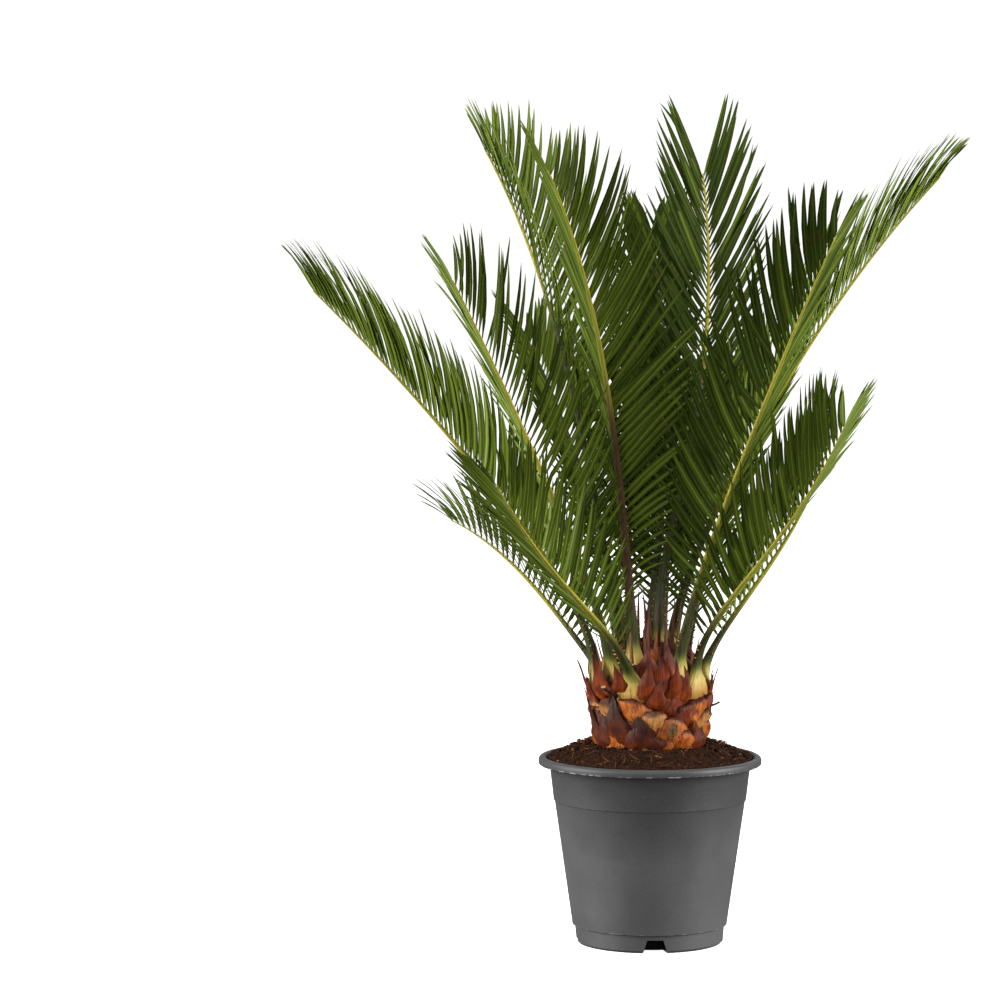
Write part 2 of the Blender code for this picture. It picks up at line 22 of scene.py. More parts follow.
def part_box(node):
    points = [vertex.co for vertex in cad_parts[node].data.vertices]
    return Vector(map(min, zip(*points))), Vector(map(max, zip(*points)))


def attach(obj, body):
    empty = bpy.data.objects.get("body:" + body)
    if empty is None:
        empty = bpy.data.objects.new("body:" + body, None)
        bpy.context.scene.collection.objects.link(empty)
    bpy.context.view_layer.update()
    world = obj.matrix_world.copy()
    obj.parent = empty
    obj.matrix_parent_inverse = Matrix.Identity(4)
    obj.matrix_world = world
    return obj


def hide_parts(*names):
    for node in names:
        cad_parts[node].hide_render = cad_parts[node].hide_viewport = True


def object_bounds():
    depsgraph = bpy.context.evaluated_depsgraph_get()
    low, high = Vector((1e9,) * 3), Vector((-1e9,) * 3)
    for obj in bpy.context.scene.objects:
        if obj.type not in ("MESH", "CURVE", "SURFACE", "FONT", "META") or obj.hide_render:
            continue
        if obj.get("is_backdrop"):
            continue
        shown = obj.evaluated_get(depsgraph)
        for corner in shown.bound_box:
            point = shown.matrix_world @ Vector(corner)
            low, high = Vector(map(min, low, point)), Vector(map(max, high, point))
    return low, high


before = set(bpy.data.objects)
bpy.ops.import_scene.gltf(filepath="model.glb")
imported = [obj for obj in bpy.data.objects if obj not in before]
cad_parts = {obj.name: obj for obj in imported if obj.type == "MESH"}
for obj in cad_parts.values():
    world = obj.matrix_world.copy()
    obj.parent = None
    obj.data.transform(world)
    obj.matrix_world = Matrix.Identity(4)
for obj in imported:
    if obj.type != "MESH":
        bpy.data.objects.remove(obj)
CAD_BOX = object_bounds()
print("CAD box in metres:", [tuple(round(value, 4) for value in corner) for corner in CAD_BOX])

# %% [markdown]
# ## Camera
#
# The ellipses of the pot's rim and foot tell where the camera stood: half a metre up, three
# metres away, looking slightly down. A long lens at that distance keeps the pot's sides almost
# parallel. The focal length is given in pixels of the square picture, which makes it easy to
# compare with sizes read from the photograph, and is turned into millimetres for Blender.

# %% Camera
CAMERA_PLACE = (0.0, -3.0, 0.531)
CAMERA_PITCH = math.radians(4.44)
CAMERA_TURN = math.radians(1.925)
FOCAL_PIXELS = 4494
PICTURE_PIXELS = 1000
SENSOR_WIDTH = 36.0


def add_object(name, data):
    obj = bpy.data.objects.new(name, data)
    bpy.context.scene.collection.objects.link(obj)
    return obj


camera_data = bpy.data.cameras.new("camera")
camera_data.sensor_width = SENSOR_WIDTH
camera_data.lens = FOCAL_PIXELS / PICTURE_PIXELS * SENSOR_WIDTH
camera = add_object("camera", camera_data)
camera.location = CAMERA_PLACE
camera.rotation_euler = (math.radians(90.0) - CAMERA_PITCH, 0.0, CAMERA_TURN)
bpy.context.scene.camera = camera
print(f"lens {camera_data.lens:.1f} mm")

# %% [markdown]
# ## Light and floor
#
# The photograph was taken in plain studio light: the pot is lighter on its two sides than in
# its middle, so the large soft lamps stand left and right, with weaker ones above, behind and
# in front. The lamps themselves don't show. The floor is a wide pale sheet, marked as stage so
# that it doesn't count as part of the plant. The Standard view keeps the picture's tones.

# %% Light and floor
PLANT_MIDDLE = Vector((0.0, 0.0, 0.28))
WHITE = (1.0, 1.0, 1.0, 1.0)
FLOOR_SIZE = 14.0
FLOOR_DROP = 0.0002
FLOOR_TONE = 0.93
FLOOR_ROUGHNESS = 0.9
FLOOR_GLOW = 1.0
SEEN_LIGHT = 1.05
WORLD_LIGHT = 0.17
# name, place, width, height, power
LAMPS = (
    ("lamp_left", (-1.9, -0.5, 0.75), 1.0, 1.5, 62.0),
    ("lamp_right", (1.9, -0.5, 0.75), 1.0, 1.5, 60.0),
    ("lamp_above", (0.0, -0.2, 2.3), 1.8, 1.8, 18.0),
    ("lamp_behind", (0.3, 2.0, 1.2), 1.6, 1.2, 5.0),
    ("lamp_front", (-0.5, -2.4, 1.1), 1.2, 1.2, 8.0),
)


def add_lamp(name, place, width, height, power):
    """A soft rectangle of light that faces the plant."""
    data = bpy.data.lights.new(name, "AREA")
    data.shape = "RECTANGLE"
    data.size, data.size_y, data.energy = width, height, power
    obj = add_object(name, data)
    obj.location = place
    obj.rotation_euler = (PLANT_MIDDLE - Vector(place)).to_track_quat("-Z", "Y").to_euler()
    obj.visible_camera = False


def pale_surroundings():
    """White where the camera looks past the plant, and a weaker even light for the plant."""
    world = bpy.data.worlds.new("studio")
    world.use_nodes = True
    tree = world.node_tree
    tree.nodes.clear()
    rays, choice, out = (tree.nodes.new(f"ShaderNode{kind}")
                         for kind in ("LightPath", "MixShader", "OutputWorld"))
    tree.links.new(rays.outputs["Is Camera Ray"], choice.inputs[0])
    for index, strength in ((1, WORLD_LIGHT), (2, SEEN_LIGHT)):
        light = tree.nodes.new("ShaderNodeBackground")
        light.inputs["Color"].default_value = WHITE
        light.inputs["Strength"].default_value = strength
        tree.links.new(light.outputs[0], choice.inputs[index])
    tree.links.new(choice.outputs[0], out.inputs["Surface"])
    bpy.context.scene.world = world


def mesh_of(name, bm):
    mesh = bpy.data.meshes.new(name)
    bm.to_mesh(mesh)
    bm.free()
    return mesh


def new_material(name):
    """A material and the inputs of its one shader."""
    material = bpy.data.materials.new(name)
    material.use_nodes = True
    return material, material.node_tree.nodes["Principled BSDF"].inputs


def pale_floor():
    bm = bmesh.new()
    bmesh.ops.create_grid(bm, x_segments=1, y_segments=1, size=FLOOR_SIZE / 2.0)
    bmesh.ops.translate(bm, verts=bm.verts, vec=(0.0, 0.0, -FLOOR_DROP))
    material, shader = new_material("floor_white")
    for name, value in (("Base Color", (FLOOR_TONE, FLOOR_TONE, FLOOR_TONE, 1.0)),
                        ("Roughness", FLOOR_ROUGHNESS), ("Emission Color", WHITE),
                        ("Emission Strength", FLOOR_GLOW)):
        shader[name].default_value = value
    floor = add_object("floor", mesh_of("floor", bm))
    floor.data.materials.append(material)
    floor.visible_diffuse = False
    floor.visible_glossy = False
    floor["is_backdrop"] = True


for lamp in LAMPS:
    add_lamp(*lamp)
pale_surroundings()
pale_floor()
bpy.context.scene.view_settings.view_transform = "Standard"
print(f"{len(LAMPS)} soft lamps")

# %% [markdown]
# ## Tools for shapes
#
# Stalks, leaflets, dry spikes and fibres are all bars with a changing section. A bar starts as
# a short closed cylinder from `bmesh.ops.create_cone`, and its end face is then pushed on from
# section to section. Each corner also remembers its place on the bar as if the bar were laid
# out straight. That `straight` attribute carries the grain: a pattern that reads it follows
# every bend. Things that repeat are made once as a master and joined as copies into one mesh.

# %% Tools for shapes
STRAIGHT = "straight"
Master = namedtuple("Master", "places straights faces slots")


def blend(low, high, share):
    return low + (high - low) * share


def held(value, low=0.0, high=1.0):
    return min(max(value, low), high)


def eased(share):
    """A share from 0 to 1 that starts and ends gently."""
    return share * share * (3.0 - 2.0 * share)


def polar(radius, angle):
    return radius * math.cos(angle), radius * math.sin(angle)


def noise_at(x, y, z):
    """Noise at many points, their coordinates given as arrays or plain numbers."""
    return np.array([noise.noise(Vector(spot)) for spot in zip(*np.broadcast_arrays(x, y, z))])


def push_face(bm, layer, face, places, marks):
    """Extrudes one face and gives its corners their places and straightened places."""
    pushed = bmesh.ops.extrude_discrete_faces(bm, faces=[face])["faces"][0]
    for vert, place, mark in zip(pushed.verts, places, marks):
        vert.co, vert[layer] = place, mark
    return pushed


def bar(sections, straights, point=None, point_straight=None):
    """A bar through all its sections, closed by a flat end or drawn together in a point."""
    bm = bmesh.new()
    layer = bm.verts.layers.float_vector.new(STRAIGHT)
    bmesh.ops.create_cone(bm, cap_ends=True, segments=len(sections[0]), radius1=1.0, radius2=1.0,
                          depth=2.0)
    end = max(bm.faces, key=lambda face: face.calc_center_median().z)
    for index, vert in enumerate(end.verts):
        below = next(edge.other_vert(vert) for edge in vert.link_edges
                     if edge.other_vert(vert) not in end.verts)
        for level, corner in enumerate((below, vert)):
            corner.co, corner[layer] = sections[level][index], straights[level][index]
    for places, marks in zip(sections[2:], straights[2:]):
        end = push_face(bm, layer, end, places, marks)
    if point is not None:
        end = push_face(bm, layer, end, sections[-1], straights[-1])
        bmesh.ops.pointmerge(bm, verts=list(end.verts), merge_co=point)
        tip = min(bm.verts, key=lambda vert: (vert.co - point).length)
        tip[layer] = point_straight
    bmesh.ops.recalc_face_normals(bm, faces=bm.faces)
    return bm


def read_master(bm, slot_of=None):
    """The arrays of a finished bmesh; slot_of gives a face's material from its straight middle."""
    bm.verts.index_update()
    layer = bm.verts.layers.float_vector[STRAIGHT]
    places = np.array([vert.co[:] for vert in bm.verts])
    straights = np.array([vert[layer][:] for vert in bm.verts])
    faces = [[vert.index for vert in face.verts] for face in bm.faces]
    slots = [slot_of(straights[face].mean(axis=0)) if slot_of else 0 for face in faces]
    bm.free()
    return Master(places, straights, faces, np.array(slots))


def marked_master(bm, flat=False):
    """A master whose straightened places are its corners' own, with no depth if flat."""
    layer = bm.verts.layers.float_vector.new(STRAIGHT)
    for vert in bm.verts:
        vert[layer] = (vert.co.x, 0.0, vert.co.z) if flat else vert.co
    return read_master(bm)


def copy_of(master, places, slot=0, shift=0.0):
    """A copy at its own places, in one finish, its grain shifted so that no two look alike."""
    straights = master.straights + np.array([0.0, shift, 0.0])
    return Master(places, straights, master.faces, np.full(len(master.faces), slot))


def joined_mesh(name, copies):
    """One mesh of many small shapes, each a Master whose places are where it lies."""
    offsets = np.cumsum([0] + [len(copy.places) for copy in copies]).tolist()
    faces = [[offset + corner for corner in face]
             for offset, copy in zip(offsets, copies) for face in copy.faces]
    places, straights, slots = (np.concatenate([getattr(copy, field) for copy in copies])
                                for field in ("places", "straights", "slots"))
    mesh = bpy.data.meshes.new(name)
    mesh.from_pydata(places.tolist(), [], faces)
    attribute = mesh.attributes.new(STRAIGHT, "FLOAT_VECTOR", "POINT")
    attribute.data.foreach_set("vector", straights.astype(np.float32).ravel())
    mesh.polygons.foreach_set("material_index", slots.astype(np.int32))
    return mesh


def add_piece(name, shape, materials, nodes, smooth_angle=None):
    """An object of a bmesh or of joined copies, which rides on the body for its CAD nodes."""
    mesh = joined_mesh(name, shape) if isinstance(shape, list) else mesh_of(name, shape)
    for material in materials:
        mesh.materials.append(material)
    mesh.polygons.foreach_set("use_smooth", [True] * len(mesh.polygons))
    if smooth_angle is not None:
        mesh.set_sharp_from_angle(angle=math.radians(smooth_angle))
    mesh.update()
    obj = add_object(name, mesh)
    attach(obj, "root")
    if nodes:
        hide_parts(*nodes)
    print(f"{name}: {sum(len(polygon.vertices) - 2 for polygon in mesh.polygons)} triangles")
    return obj


# %% [markdown]
# ## Tools for finishes
#
# Every finish is one Principled shader whose colour, roughness and bump come from patterns.
# Three effects come back in most finishes, so each is a node group with its own inputs: fibre
# for the long grain of leaves, scales and stalks, mottle for soft blotches, and specks for
# small dots. Colours are given as the numbers that a picture editor shows, and are turned into
# the linear values that the renderer works with. A finish is painted in coats, each laid over
# the one before where its mask is one.

# %% Tools for finishes
def linear(red, green, blue):
    """A colour from 0 to 255, as a picture editor shows it, in the renderer's linear values."""
    shares = (channel / 255.0 for channel in (red, green, blue))
    return (*(share / 12.92 if share <= 0.04045 else ((share + 0.055) / 1.055) ** 2.4
              for share in shares), 1.0)


def node(tree, kind, inputs=(), output=0, **settings):
    """Adds a node, sets or links its inputs, and returns one of its outputs."""
    made = tree.nodes.new(f"ShaderNode{kind}")
    for name, value in settings.items():
        setattr(made, name, value)
    for name, value in dict(inputs).items():
        if isinstance(value, bpy.types.NodeSocket):
            tree.links.new(value, made.inputs[name])
        else:
            made.inputs[name].default_value = value
    return made.outputs[output]


def new_group(name, inputs, pattern):
    """A node group with one vector, some plain numbers, and a pattern's mask as its result."""
    tree = bpy.data.node_groups.new(name, "ShaderNodeTree")
    tree.interface.new_socket("Vector", in_out="INPUT", socket_type="NodeSocketVector")
    for label, value in inputs.items():
        socket = tree.interface.new_socket(label, in_out="INPUT", socket_type="NodeSocketFloat")
        socket.default_value = value
    tree.interface.new_socket("Mask", in_out="OUTPUT", socket_type="NodeSocketFloat")
    given = tree.nodes.new("NodeGroupInput").outputs
    result = tree.nodes.new("NodeGroupOutput").inputs["Mask"]
    tree.links.new(pattern(tree, given), result)
    return tree


def masked_noise(tree, given, vector, detail):
    """Noise at the group's scale, with its contrast raised between two limits."""
    pattern = node(tree, "TexNoise", {"Vector": vector, "Scale": 1.0, "Detail": detail})
    return node(tree, "MapRange", {"Value": pattern, "From Min": given["Low"],
                                   "From Max": given["High"]})


def fibres(tree, given):
    """Streaks along the third direction of the vector: Across and Along count them per metre."""
    scale = node(tree, "CombineXYZ", {"X": given["Across"], "Y": given["Across"], "Z": given["Along"]})
    stretched = node(tree, "VectorMath", {0: given["Vector"], 1: scale}, operation="MULTIPLY")
    return masked_noise(tree, given, stretched, 3.0)


def blotches(tree, given):
    """Soft blotches, with Scale as their number per metre."""
    scaled = node(tree, "VectorMath", {0: given["Vector"], "Scale": given["Scale"]}, operation="SCALE")
    return masked_noise(tree, given, scaled, 4.0)


def dots(tree, given):
    """Small round dots in a share of the cells, with Scale as the cells per metre."""
    cells = node(tree, "TexVoronoi", {"Vector": given["Vector"], "Scale": given["Scale"]})
    return node(tree, "Math", {0: cells, 1: given["Size"]}, operation="LESS_THAN")


LIMITS = {"Low": 0.35, "High": 0.65}
FIBRE = new_group("fibre", {"Across": 900.0, "Along": 40.0, **LIMITS}, fibres)
MOTTLE = new_group("mottle", {"Scale": 40.0, **LIMITS}, blotches)
SPECKS = new_group("specks", {"Scale": 800.0, "Size": 0.2}, dots)


class Finish:
    """A material under construction: its shader, its patterns and its colour so far."""

    def __init__(self, name, roughness, shine=0.5):
        self.material, self.shader = new_material(name)
        self.tree = self.material.node_tree
        self.shader["Roughness"].default_value = roughness
        self.shader["Specular IOR Level"].default_value = shine
        self.colour = None

    def place(self, axis=None):
        """Where a point lies on the piece, or one number of that."""
        return self.one_of(node(self.tree, "TexCoord", output="Object"), axis)

    def straight(self, axis=None):
        """Where a point lies on its bar or shape laid out straight, or one number of that."""
        vector = node(self.tree, "Attribute", output="Vector", attribute_name=STRAIGHT)
        return self.one_of(vector, axis)

    def one_of(self, vector, axis):
        return node(self.tree, "SeparateXYZ", {"Vector": vector}, axis) if axis else vector

    def fibre(self, across, along, low, high, vector=None):
        """Streaks, with their numbers per metre and the limits of their contrast."""
        vector = self.straight() if vector is None else vector
        return node(self.tree, "Group", {"Vector": vector, "Across": across, "Along": along,
                                         "Low": low, "High": high}, node_tree=FIBRE)

    def mottle(self, scale, low, high):
        """Blotches, with their number per metre and the limits of their contrast."""
        return node(self.tree, "Group", {"Vector": self.place(), "Scale": scale, "Low": low,
                                         "High": high}, node_tree=MOTTLE)

    def specks(self, scale, size):
        return node(self.tree, "Group", {"Vector": self.place(), "Scale": scale, "Size": size},
                    node_tree=SPECKS)

    def between(self, value, low, high, to_low=0.0, to_high=1.0):
        """A value that runs from low to high, mapped onto another range and held at its ends."""
        return node(self.tree, "MapRange", {
            "Value": value, "From Min": low, "From Max": high, "To Min": to_low, "To Max": to_high},
            interpolation_type="SMOOTHSTEP")

    def math(self, operation, *values):
        return node(self.tree, "Math", enumerate(values), operation=operation)

    def near(self, value, level, reach):
        """One where the value is at the level, falling to zero at the given reach from it."""
        apart = self.math("ABSOLUTE", self.math("SUBTRACT", value, level))
        return self.between(apart, 0.0, reach, 1.0, 0.0)

    def mix(self, share, low, high):
        """Two colours, or sockets that carry colours, mixed by a mask."""
        low, high = (linear(*value) if isinstance(value, tuple) else value for value in (low, high))
        return node(self.tree, "Mix", {0: share, 6: low, 7: high}, 2, data_type="RGBA")

    def coat(self, colour, share, *more):
        """Lays a colour over the ones before, where the product of all shares is one."""
        for factor in more:
            share = self.math("MULTIPLY", share, factor)
        self.colour = self.mix(share, self.colour, colour)

    def done(self, *reliefs, rough=None):
        """Adds the colour, the roughness of a mask and its ends, and reliefs of a depth in metres."""
        self.tree.links.new(self.colour, self.shader["Base Color"])
        if rough:
            self.tree.links.new(self.between(rough[0], 0.0, 1.0, *rough[1:]), self.shader["Roughness"])
        normal = None
        for height, depth in reliefs:
            before = {"Normal": normal} if normal else {}
            normal = node(self.tree, "Bump", {"Height": height, "Distance": depth, "Strength": 1.0,
                                              **before})
        if normal:
            self.tree.links.new(normal, self.shader["Normal"])
        return self.material


print("node groups:", [group.name for group in (FIBRE, MOTTLE, SPECKS)])

# %% [markdown]
# ## The pot
#
# A common round nursery pot, 15 cm across its rim: thin walls that taper to the foot, a rolled
# bead as rim, a faint shoulder where pots stack, a narrow band at the foot, and four drain
# notches that open the corner of wall and floor. A turned thing is drawn as a profile and spun.
# The notches could be cut with a Boolean, but that leaves long thin faces on a smooth wall.
# Here the faces of each notch are taken out of both walls, and the two openings are bridged.

# %% The pot's sizes
POT_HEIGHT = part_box("pot")[1].z
POT_WALL = 0.0015
POT_FLOOR = 0.002
RIM_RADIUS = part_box("pot")[1].x
BEAD_HEIGHT = 0.0055
BEAD_RISE = 0.55 * BEAD_HEIGHT
RIM_INNER_RADIUS = 0.0692
WALL_TOP_RADIUS = 0.0675
WALL_FOOT_RADIUS = 0.052
WALL_MIDDLE = 0.06
FOOT_BAND_HEIGHT = 0.0125
FOOT_RADIUS = 0.0495
SHOULDER_HEIGHT = 0.096
SHOULDER_STEP = 0.0007
BAND_STEP = 0.0018
POT_EDGE = 0.0008
POT_STEPS = 144
BEAD_STEPS = 8
NOTCH_COUNT = 4
NOTCH_TURN = math.radians(-85.4)
NOTCH_HEIGHT = 0.009
NOTCH_INNER_RADIUS = 0.0355
NOTCH_COLUMNS = 4
NOTCH_NARROWING = {0.0: 1.0, 0.3: 0.9, 1.0: 0.62}
LIP_FOOT = POT_HEIGHT - BEAD_HEIGHT


def wall_radius(height):
    """Outer radius of the pot's plain wall, without the shoulder."""
    share = (height - FOOT_BAND_HEIGHT) / (POT_HEIGHT - BEAD_HEIGHT - FOOT_BAND_HEIGHT)
    return WALL_FOOT_RADIUS + (WALL_TOP_RADIUS - WALL_FOOT_RADIUS) * share


INNER_BAND = wall_radius(FOOT_BAND_HEIGHT) - BAND_STEP - POT_WALL


def bead_arc():
    """The rolled rim from its inner edge over the top and down the outside, as half an ellipse."""
    middle = (RIM_INNER_RADIUS + RIM_RADIUS) / 2.0
    half = (RIM_RADIUS - RIM_INNER_RADIUS) / 2.0
    angles = [math.pi * (1.0 - step / BEAD_STEPS) for step in range(BEAD_STEPS + 1)]
    return [(middle + half * math.cos(angle), POT_HEIGHT - BEAD_RISE + BEAD_RISE * math.sin(angle) ** 0.8)
            for angle in angles]


def pot_profile():
    """From the middle of the floor up the inside, over the bead and down the outside."""
    inner_foot = FOOT_RADIUS - POT_WALL
    outer_band = WALL_FOOT_RADIUS - BAND_STEP
    corner = POT_FLOOR + POT_EDGE
    inner_share = (NOTCH_HEIGHT - POT_FLOOR - POT_EDGE) / (FOOT_BAND_HEIGHT - POT_FLOOR - POT_EDGE)
    shoulder = wall_radius(SHOULDER_HEIGHT)
    inside = [
        (0.0, POT_FLOOR),
        (NOTCH_INNER_RADIUS, POT_FLOOR),
        (inner_foot - POT_EDGE, POT_FLOOR),
        (inner_foot, corner),
        (blend(inner_foot, INNER_BAND, inner_share), NOTCH_HEIGHT),
        (INNER_BAND, FOOT_BAND_HEIGHT),
        (WALL_TOP_RADIUS - POT_WALL, LIP_FOOT),
    ]
    underside = [
        (RIM_RADIUS - 0.3 * POT_EDGE, LIP_FOOT + 0.6 * POT_EDGE),
        (RIM_RADIUS - 1.2 * POT_EDGE, LIP_FOOT),
        (RIM_RADIUS - 2.4 * POT_EDGE, LIP_FOOT + POT_EDGE),
        (WALL_TOP_RADIUS + POT_EDGE, LIP_FOOT + 1.5 * POT_EDGE),
        (WALL_TOP_RADIUS, LIP_FOOT),
    ]
    outside = [
        (shoulder + SHOULDER_STEP, SHOULDER_HEIGHT + SHOULDER_STEP),
        (shoulder, SHOULDER_HEIGHT),
        (wall_radius(WALL_MIDDLE), WALL_MIDDLE),
        (WALL_FOOT_RADIUS, FOOT_BAND_HEIGHT),
        (outer_band, FOOT_BAND_HEIGHT - SHOULDER_STEP),
        (blend(FOOT_RADIUS, outer_band, NOTCH_HEIGHT / FOOT_BAND_HEIGHT), NOTCH_HEIGHT),
        (FOOT_RADIUS, 2.0 * POT_EDGE),
        (FOOT_RADIUS - 2.0 * POT_EDGE, 0.0),
        (NOTCH_INNER_RADIUS, 0.0),
        (0.0, 0.0),
    ]
    return inside + bead_arc() + underside + outside


def spin_profile(profile, steps, start=0.0):
    """A closed body of revolution about the upright axis, its poles merged, faces outwards."""
    bm = bmesh.new()
    verts = [bm.verts.new((*polar(radius, start), height)) for radius, height in profile]
    edges = [bm.edges.new(pair) for pair in zip(verts, verts[1:])]
    bmesh.ops.spin(bm, geom=verts + edges, cent=(0.0, 0.0, 0.0), axis=(0.0, 0.0, 1.0),
                   angle=math.tau, steps=steps, use_merge=True, use_duplicate=False)
    bmesh.ops.remove_doubles(bm, verts=bm.verts, dist=1e-6)
    bmesh.ops.recalc_face_normals(bm, faces=bm.faces)
    return bm


def turn_from(place, middle):
    """The angle round the axis from a notch's middle, between minus and plus half a turn."""
    return (math.atan2(place.y, place.x) - middle + math.pi) % math.tau - math.pi


def in_notch(centre, middle):
    half_turn = (NOTCH_COLUMNS + 0.1) * math.tau / POT_STEPS
    return (math.hypot(centre.x, centre.y) > NOTCH_INNER_RADIUS and centre.z < NOTCH_HEIGHT
            and abs(turn_from(centre, middle)) < half_turn)


def open_notch(bm, middle):
    """Takes the notch's faces out of both walls, narrows its top and bridges the two openings."""
    taken = [face for face in bm.faces if in_notch(face.calc_center_median(), middle)]
    corners = {vert for face in taken for vert in face.verts}
    bmesh.ops.delete(bm, geom=taken, context="FACES")
    corners = [vert for vert in corners if vert.is_valid]
    rim = {edge for vert in corners for edge in vert.link_edges if edge.is_boundary}
    bmesh.ops.bridge_loops(bm, edges=list(rim))
    for vert in corners:
        share = min(vert.co.z / NOTCH_HEIGHT, 1.0)
        narrowing = min(NOTCH_NARROWING.items(), key=lambda item: abs(item[0] - share))[1]
        turn = middle + turn_from(vert.co, middle) * narrowing
        vert.co.x, vert.co.y = polar(math.hypot(vert.co.x, vert.co.y), turn)


# %% The pot's plastic
def pot_plastic():
    """Recycled grey plastic: a dull sheen and pale specks, painted shade from the shoulder up to
    the rim, and painted highlights on rim and band, broken up by scuff marks.
    """
    made = Finish("pot_plastic", 0.5)
    height = made.place("Z")
    cloud = made.mottle(28.0, 0.3, 0.7)
    grain = made.mottle(1500.0, 0.2, 0.8)
    # Mask that breaks the painted highlight lines below into scuff marks.
    scuffs_and_glints = made.mottle(210.0, 0.5, 0.62)
    # Painted shade's mask: 0.6 from the shoulder up, none below.
    shoulder = made.between(height, SHOULDER_HEIGHT - 0.0008, SHOULDER_HEIGHT + 0.0008, 0.0, 0.6)
    made.colour = made.mix(cloud, (75, 75, 75), (86, 86, 86))
    made.coat((97, 97, 97), grain, 0.6)
    # Painted shade: from the shoulder up to the rim the grey is darkened, as under the rolled rim.
    made.coat((54, 54, 54), shoulder)
    made.coat((136, 136, 135), made.specks(420.0, 0.12), 0.3)
    # Painted highlight: a pale line along the foot band's edge, broken up by scuff marks.
    made.coat((150, 150, 148), made.near(height, FOOT_BAND_HEIGHT, 0.0007), scuffs_and_glints, 0.8)
    # Painted highlight: a bright line along the lower edge of the rim, broken up by scuff marks.
    made.coat((188, 188, 186), made.near(height, POT_HEIGHT - 0.9 * BEAD_HEIGHT, 0.0007), scuffs_and_glints, 0.9)
    return made.done((grain, 0.00008), (made.mottle(90.0, 0.2, 0.8), 0.00012), rough=(cloud, 0.42, 0.58))


# %% Build the pot
pot_bm = spin_profile(pot_profile(), POT_STEPS, NOTCH_TURN)
for notch in range(NOTCH_COUNT):
    open_notch(pot_bm, NOTCH_TURN + notch * math.tau / NOTCH_COUNT)
bmesh.ops.recalc_face_normals(pot_bm, faces=pot_bm.faces)
add_piece("pot_shell", pot_bm, [pot_plastic()], ["pot"], 38.0)

# %% [markdown]
# ## The potting soil
#
# Dark peat, heaped up a little towards the trunk. One spun body fills the pot as in the CAD
# model, with many rings on top, and noise then moves those rings up and down into lumps. Loose
# crumbs and dry root fibres lie on it. They are small and there are hundreds of them, so a
# crumb is a ball of twenty faces and a fibre a bar of three sides, joined as copies.

# %% The soil's sizes
GAP = 0.0003
SOIL_EDGE = RIM_INNER_RADIUS - GAP
SOIL_LEVEL_RADIUS = 0.030
SOIL_CREST_RADIUS = 0.044
SOIL_CREST_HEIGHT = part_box("soil")[1].z
SOIL_EDGE_HEIGHT = 0.1258
SOIL_MIDDLE_HEIGHT = 0.131
SOIL_STEPS = 216
SOIL_RINGS = 30
LUMP_SIZE = 0.0052
LUMP_HEIGHT = 0.0011
GRAIN_SIZE = 0.0017
GRAIN_HEIGHT = 0.0005
CRUMB_COUNT = 1150
FIBRE_COUNT = 130
FIBRE_STEPS = 6
FIBRE_LIMIT = 0.0675
SOIL_SEED = 11


def soil_height(radius):
    """The heaped surface before its lumps: level under the trunk, highest round it."""
    crest = SOIL_CREST_HEIGHT - LUMP_HEIGHT
    if radius < SOIL_CREST_RADIUS:
        share = max(0.0, (radius - SOIL_LEVEL_RADIUS) / (SOIL_CREST_RADIUS - SOIL_LEVEL_RADIUS))
        return blend(SOIL_MIDDLE_HEIGHT, crest, math.sin(share * math.pi / 2.0))
    share = (radius - SOIL_CREST_RADIUS) / (SOIL_EDGE - SOIL_CREST_RADIUS)
    return blend(crest, SOIL_EDGE_HEIGHT, 0.55 * share + 0.45 * eased(share))


def lumps(x, y):
    """Height of the crumbly relief at a place."""
    place = Vector((x, y, 0.0))
    fine = noise.noise(place / GRAIN_SIZE + Vector((7.0, 3.0, 5.0)))
    return LUMP_HEIGHT * noise.noise(place / LUMP_SIZE) + GRAIN_HEIGHT * fine


def soil_surface(x, y):
    return soil_height(math.hypot(x, y)) + lumps(x, y)


def soil_body():
    foot = FOOT_RADIUS - POT_WALL - POT_EDGE - GAP
    radii = [SOIL_EDGE * ring / SOIL_RINGS for ring in range(SOIL_RINGS + 1)]
    sides = [
        (WALL_TOP_RADIUS - POT_WALL - GAP, LIP_FOOT),
        (INNER_BAND - GAP, FOOT_BAND_HEIGHT),
        (foot, POT_FLOOR + POT_EDGE + GAP),
        (foot - POT_EDGE, POT_FLOOR + GAP),
        (0.0, POT_FLOOR + GAP),
    ]
    bm = spin_profile([(radius, soil_height(radius)) for radius in radii] + sides, SOIL_STEPS)
    for vert in bm.verts:
        if vert.co.z > LIP_FOOT + GAP:
            vert.co.z += lumps(vert.co.x, vert.co.y)
    return bm


# %% Peat and what lies on it
def peat():
    """Dark peat: three browns in crumbs of a few millimetres, with reddish fibre flecks, and
    painted shade that turns it nearly black low in the pot.
    """
    made = Finish("peat", 0.95, 0.1)
    coarse, fine = made.mottle(260.0, 0.35, 0.62), made.mottle(900.0, 0.45, 0.7)
    made.colour = made.mix(coarse, (22, 11, 6), (50, 28, 17))
    made.coat((74, 44, 26), fine, 0.7)
    made.coat((132, 84, 48), made.mottle(1700.0, 0.62, 0.72), 0.8)
    # Painted shade: below six centimetres up the peat darkens, nearly black below two, so the drain notches
    # look dark inside.
    made.coat((10, 8, 6), made.between(made.place("Z"), 0.02, 0.06, 0.93, 0.0))
    return made.done((coarse, 0.0008), (fine, 0.0005))


def crumb_finish(name, colour, dark):
    made = Finish(name, 0.92, 0.12)
    made.colour = made.mix(made.mottle(1100.0, 0.4, 0.65), dark, colour)
    return made.done((made.mottle(1500.0, 0.3, 0.7), 0.0003))


def crumb_master():
    bm = bmesh.new()
    bmesh.ops.create_icosphere(bm, subdivisions=1, radius=1.0)
    return marked_master(bm)


def place_on_ring(rng, inner, outer):
    """A random place on the soil, even over the area between two radii."""
    radius = math.sqrt(rng.uniform(inner ** 2, outer ** 2))
    return polar(radius, rng.uniform(0.0, math.tau))


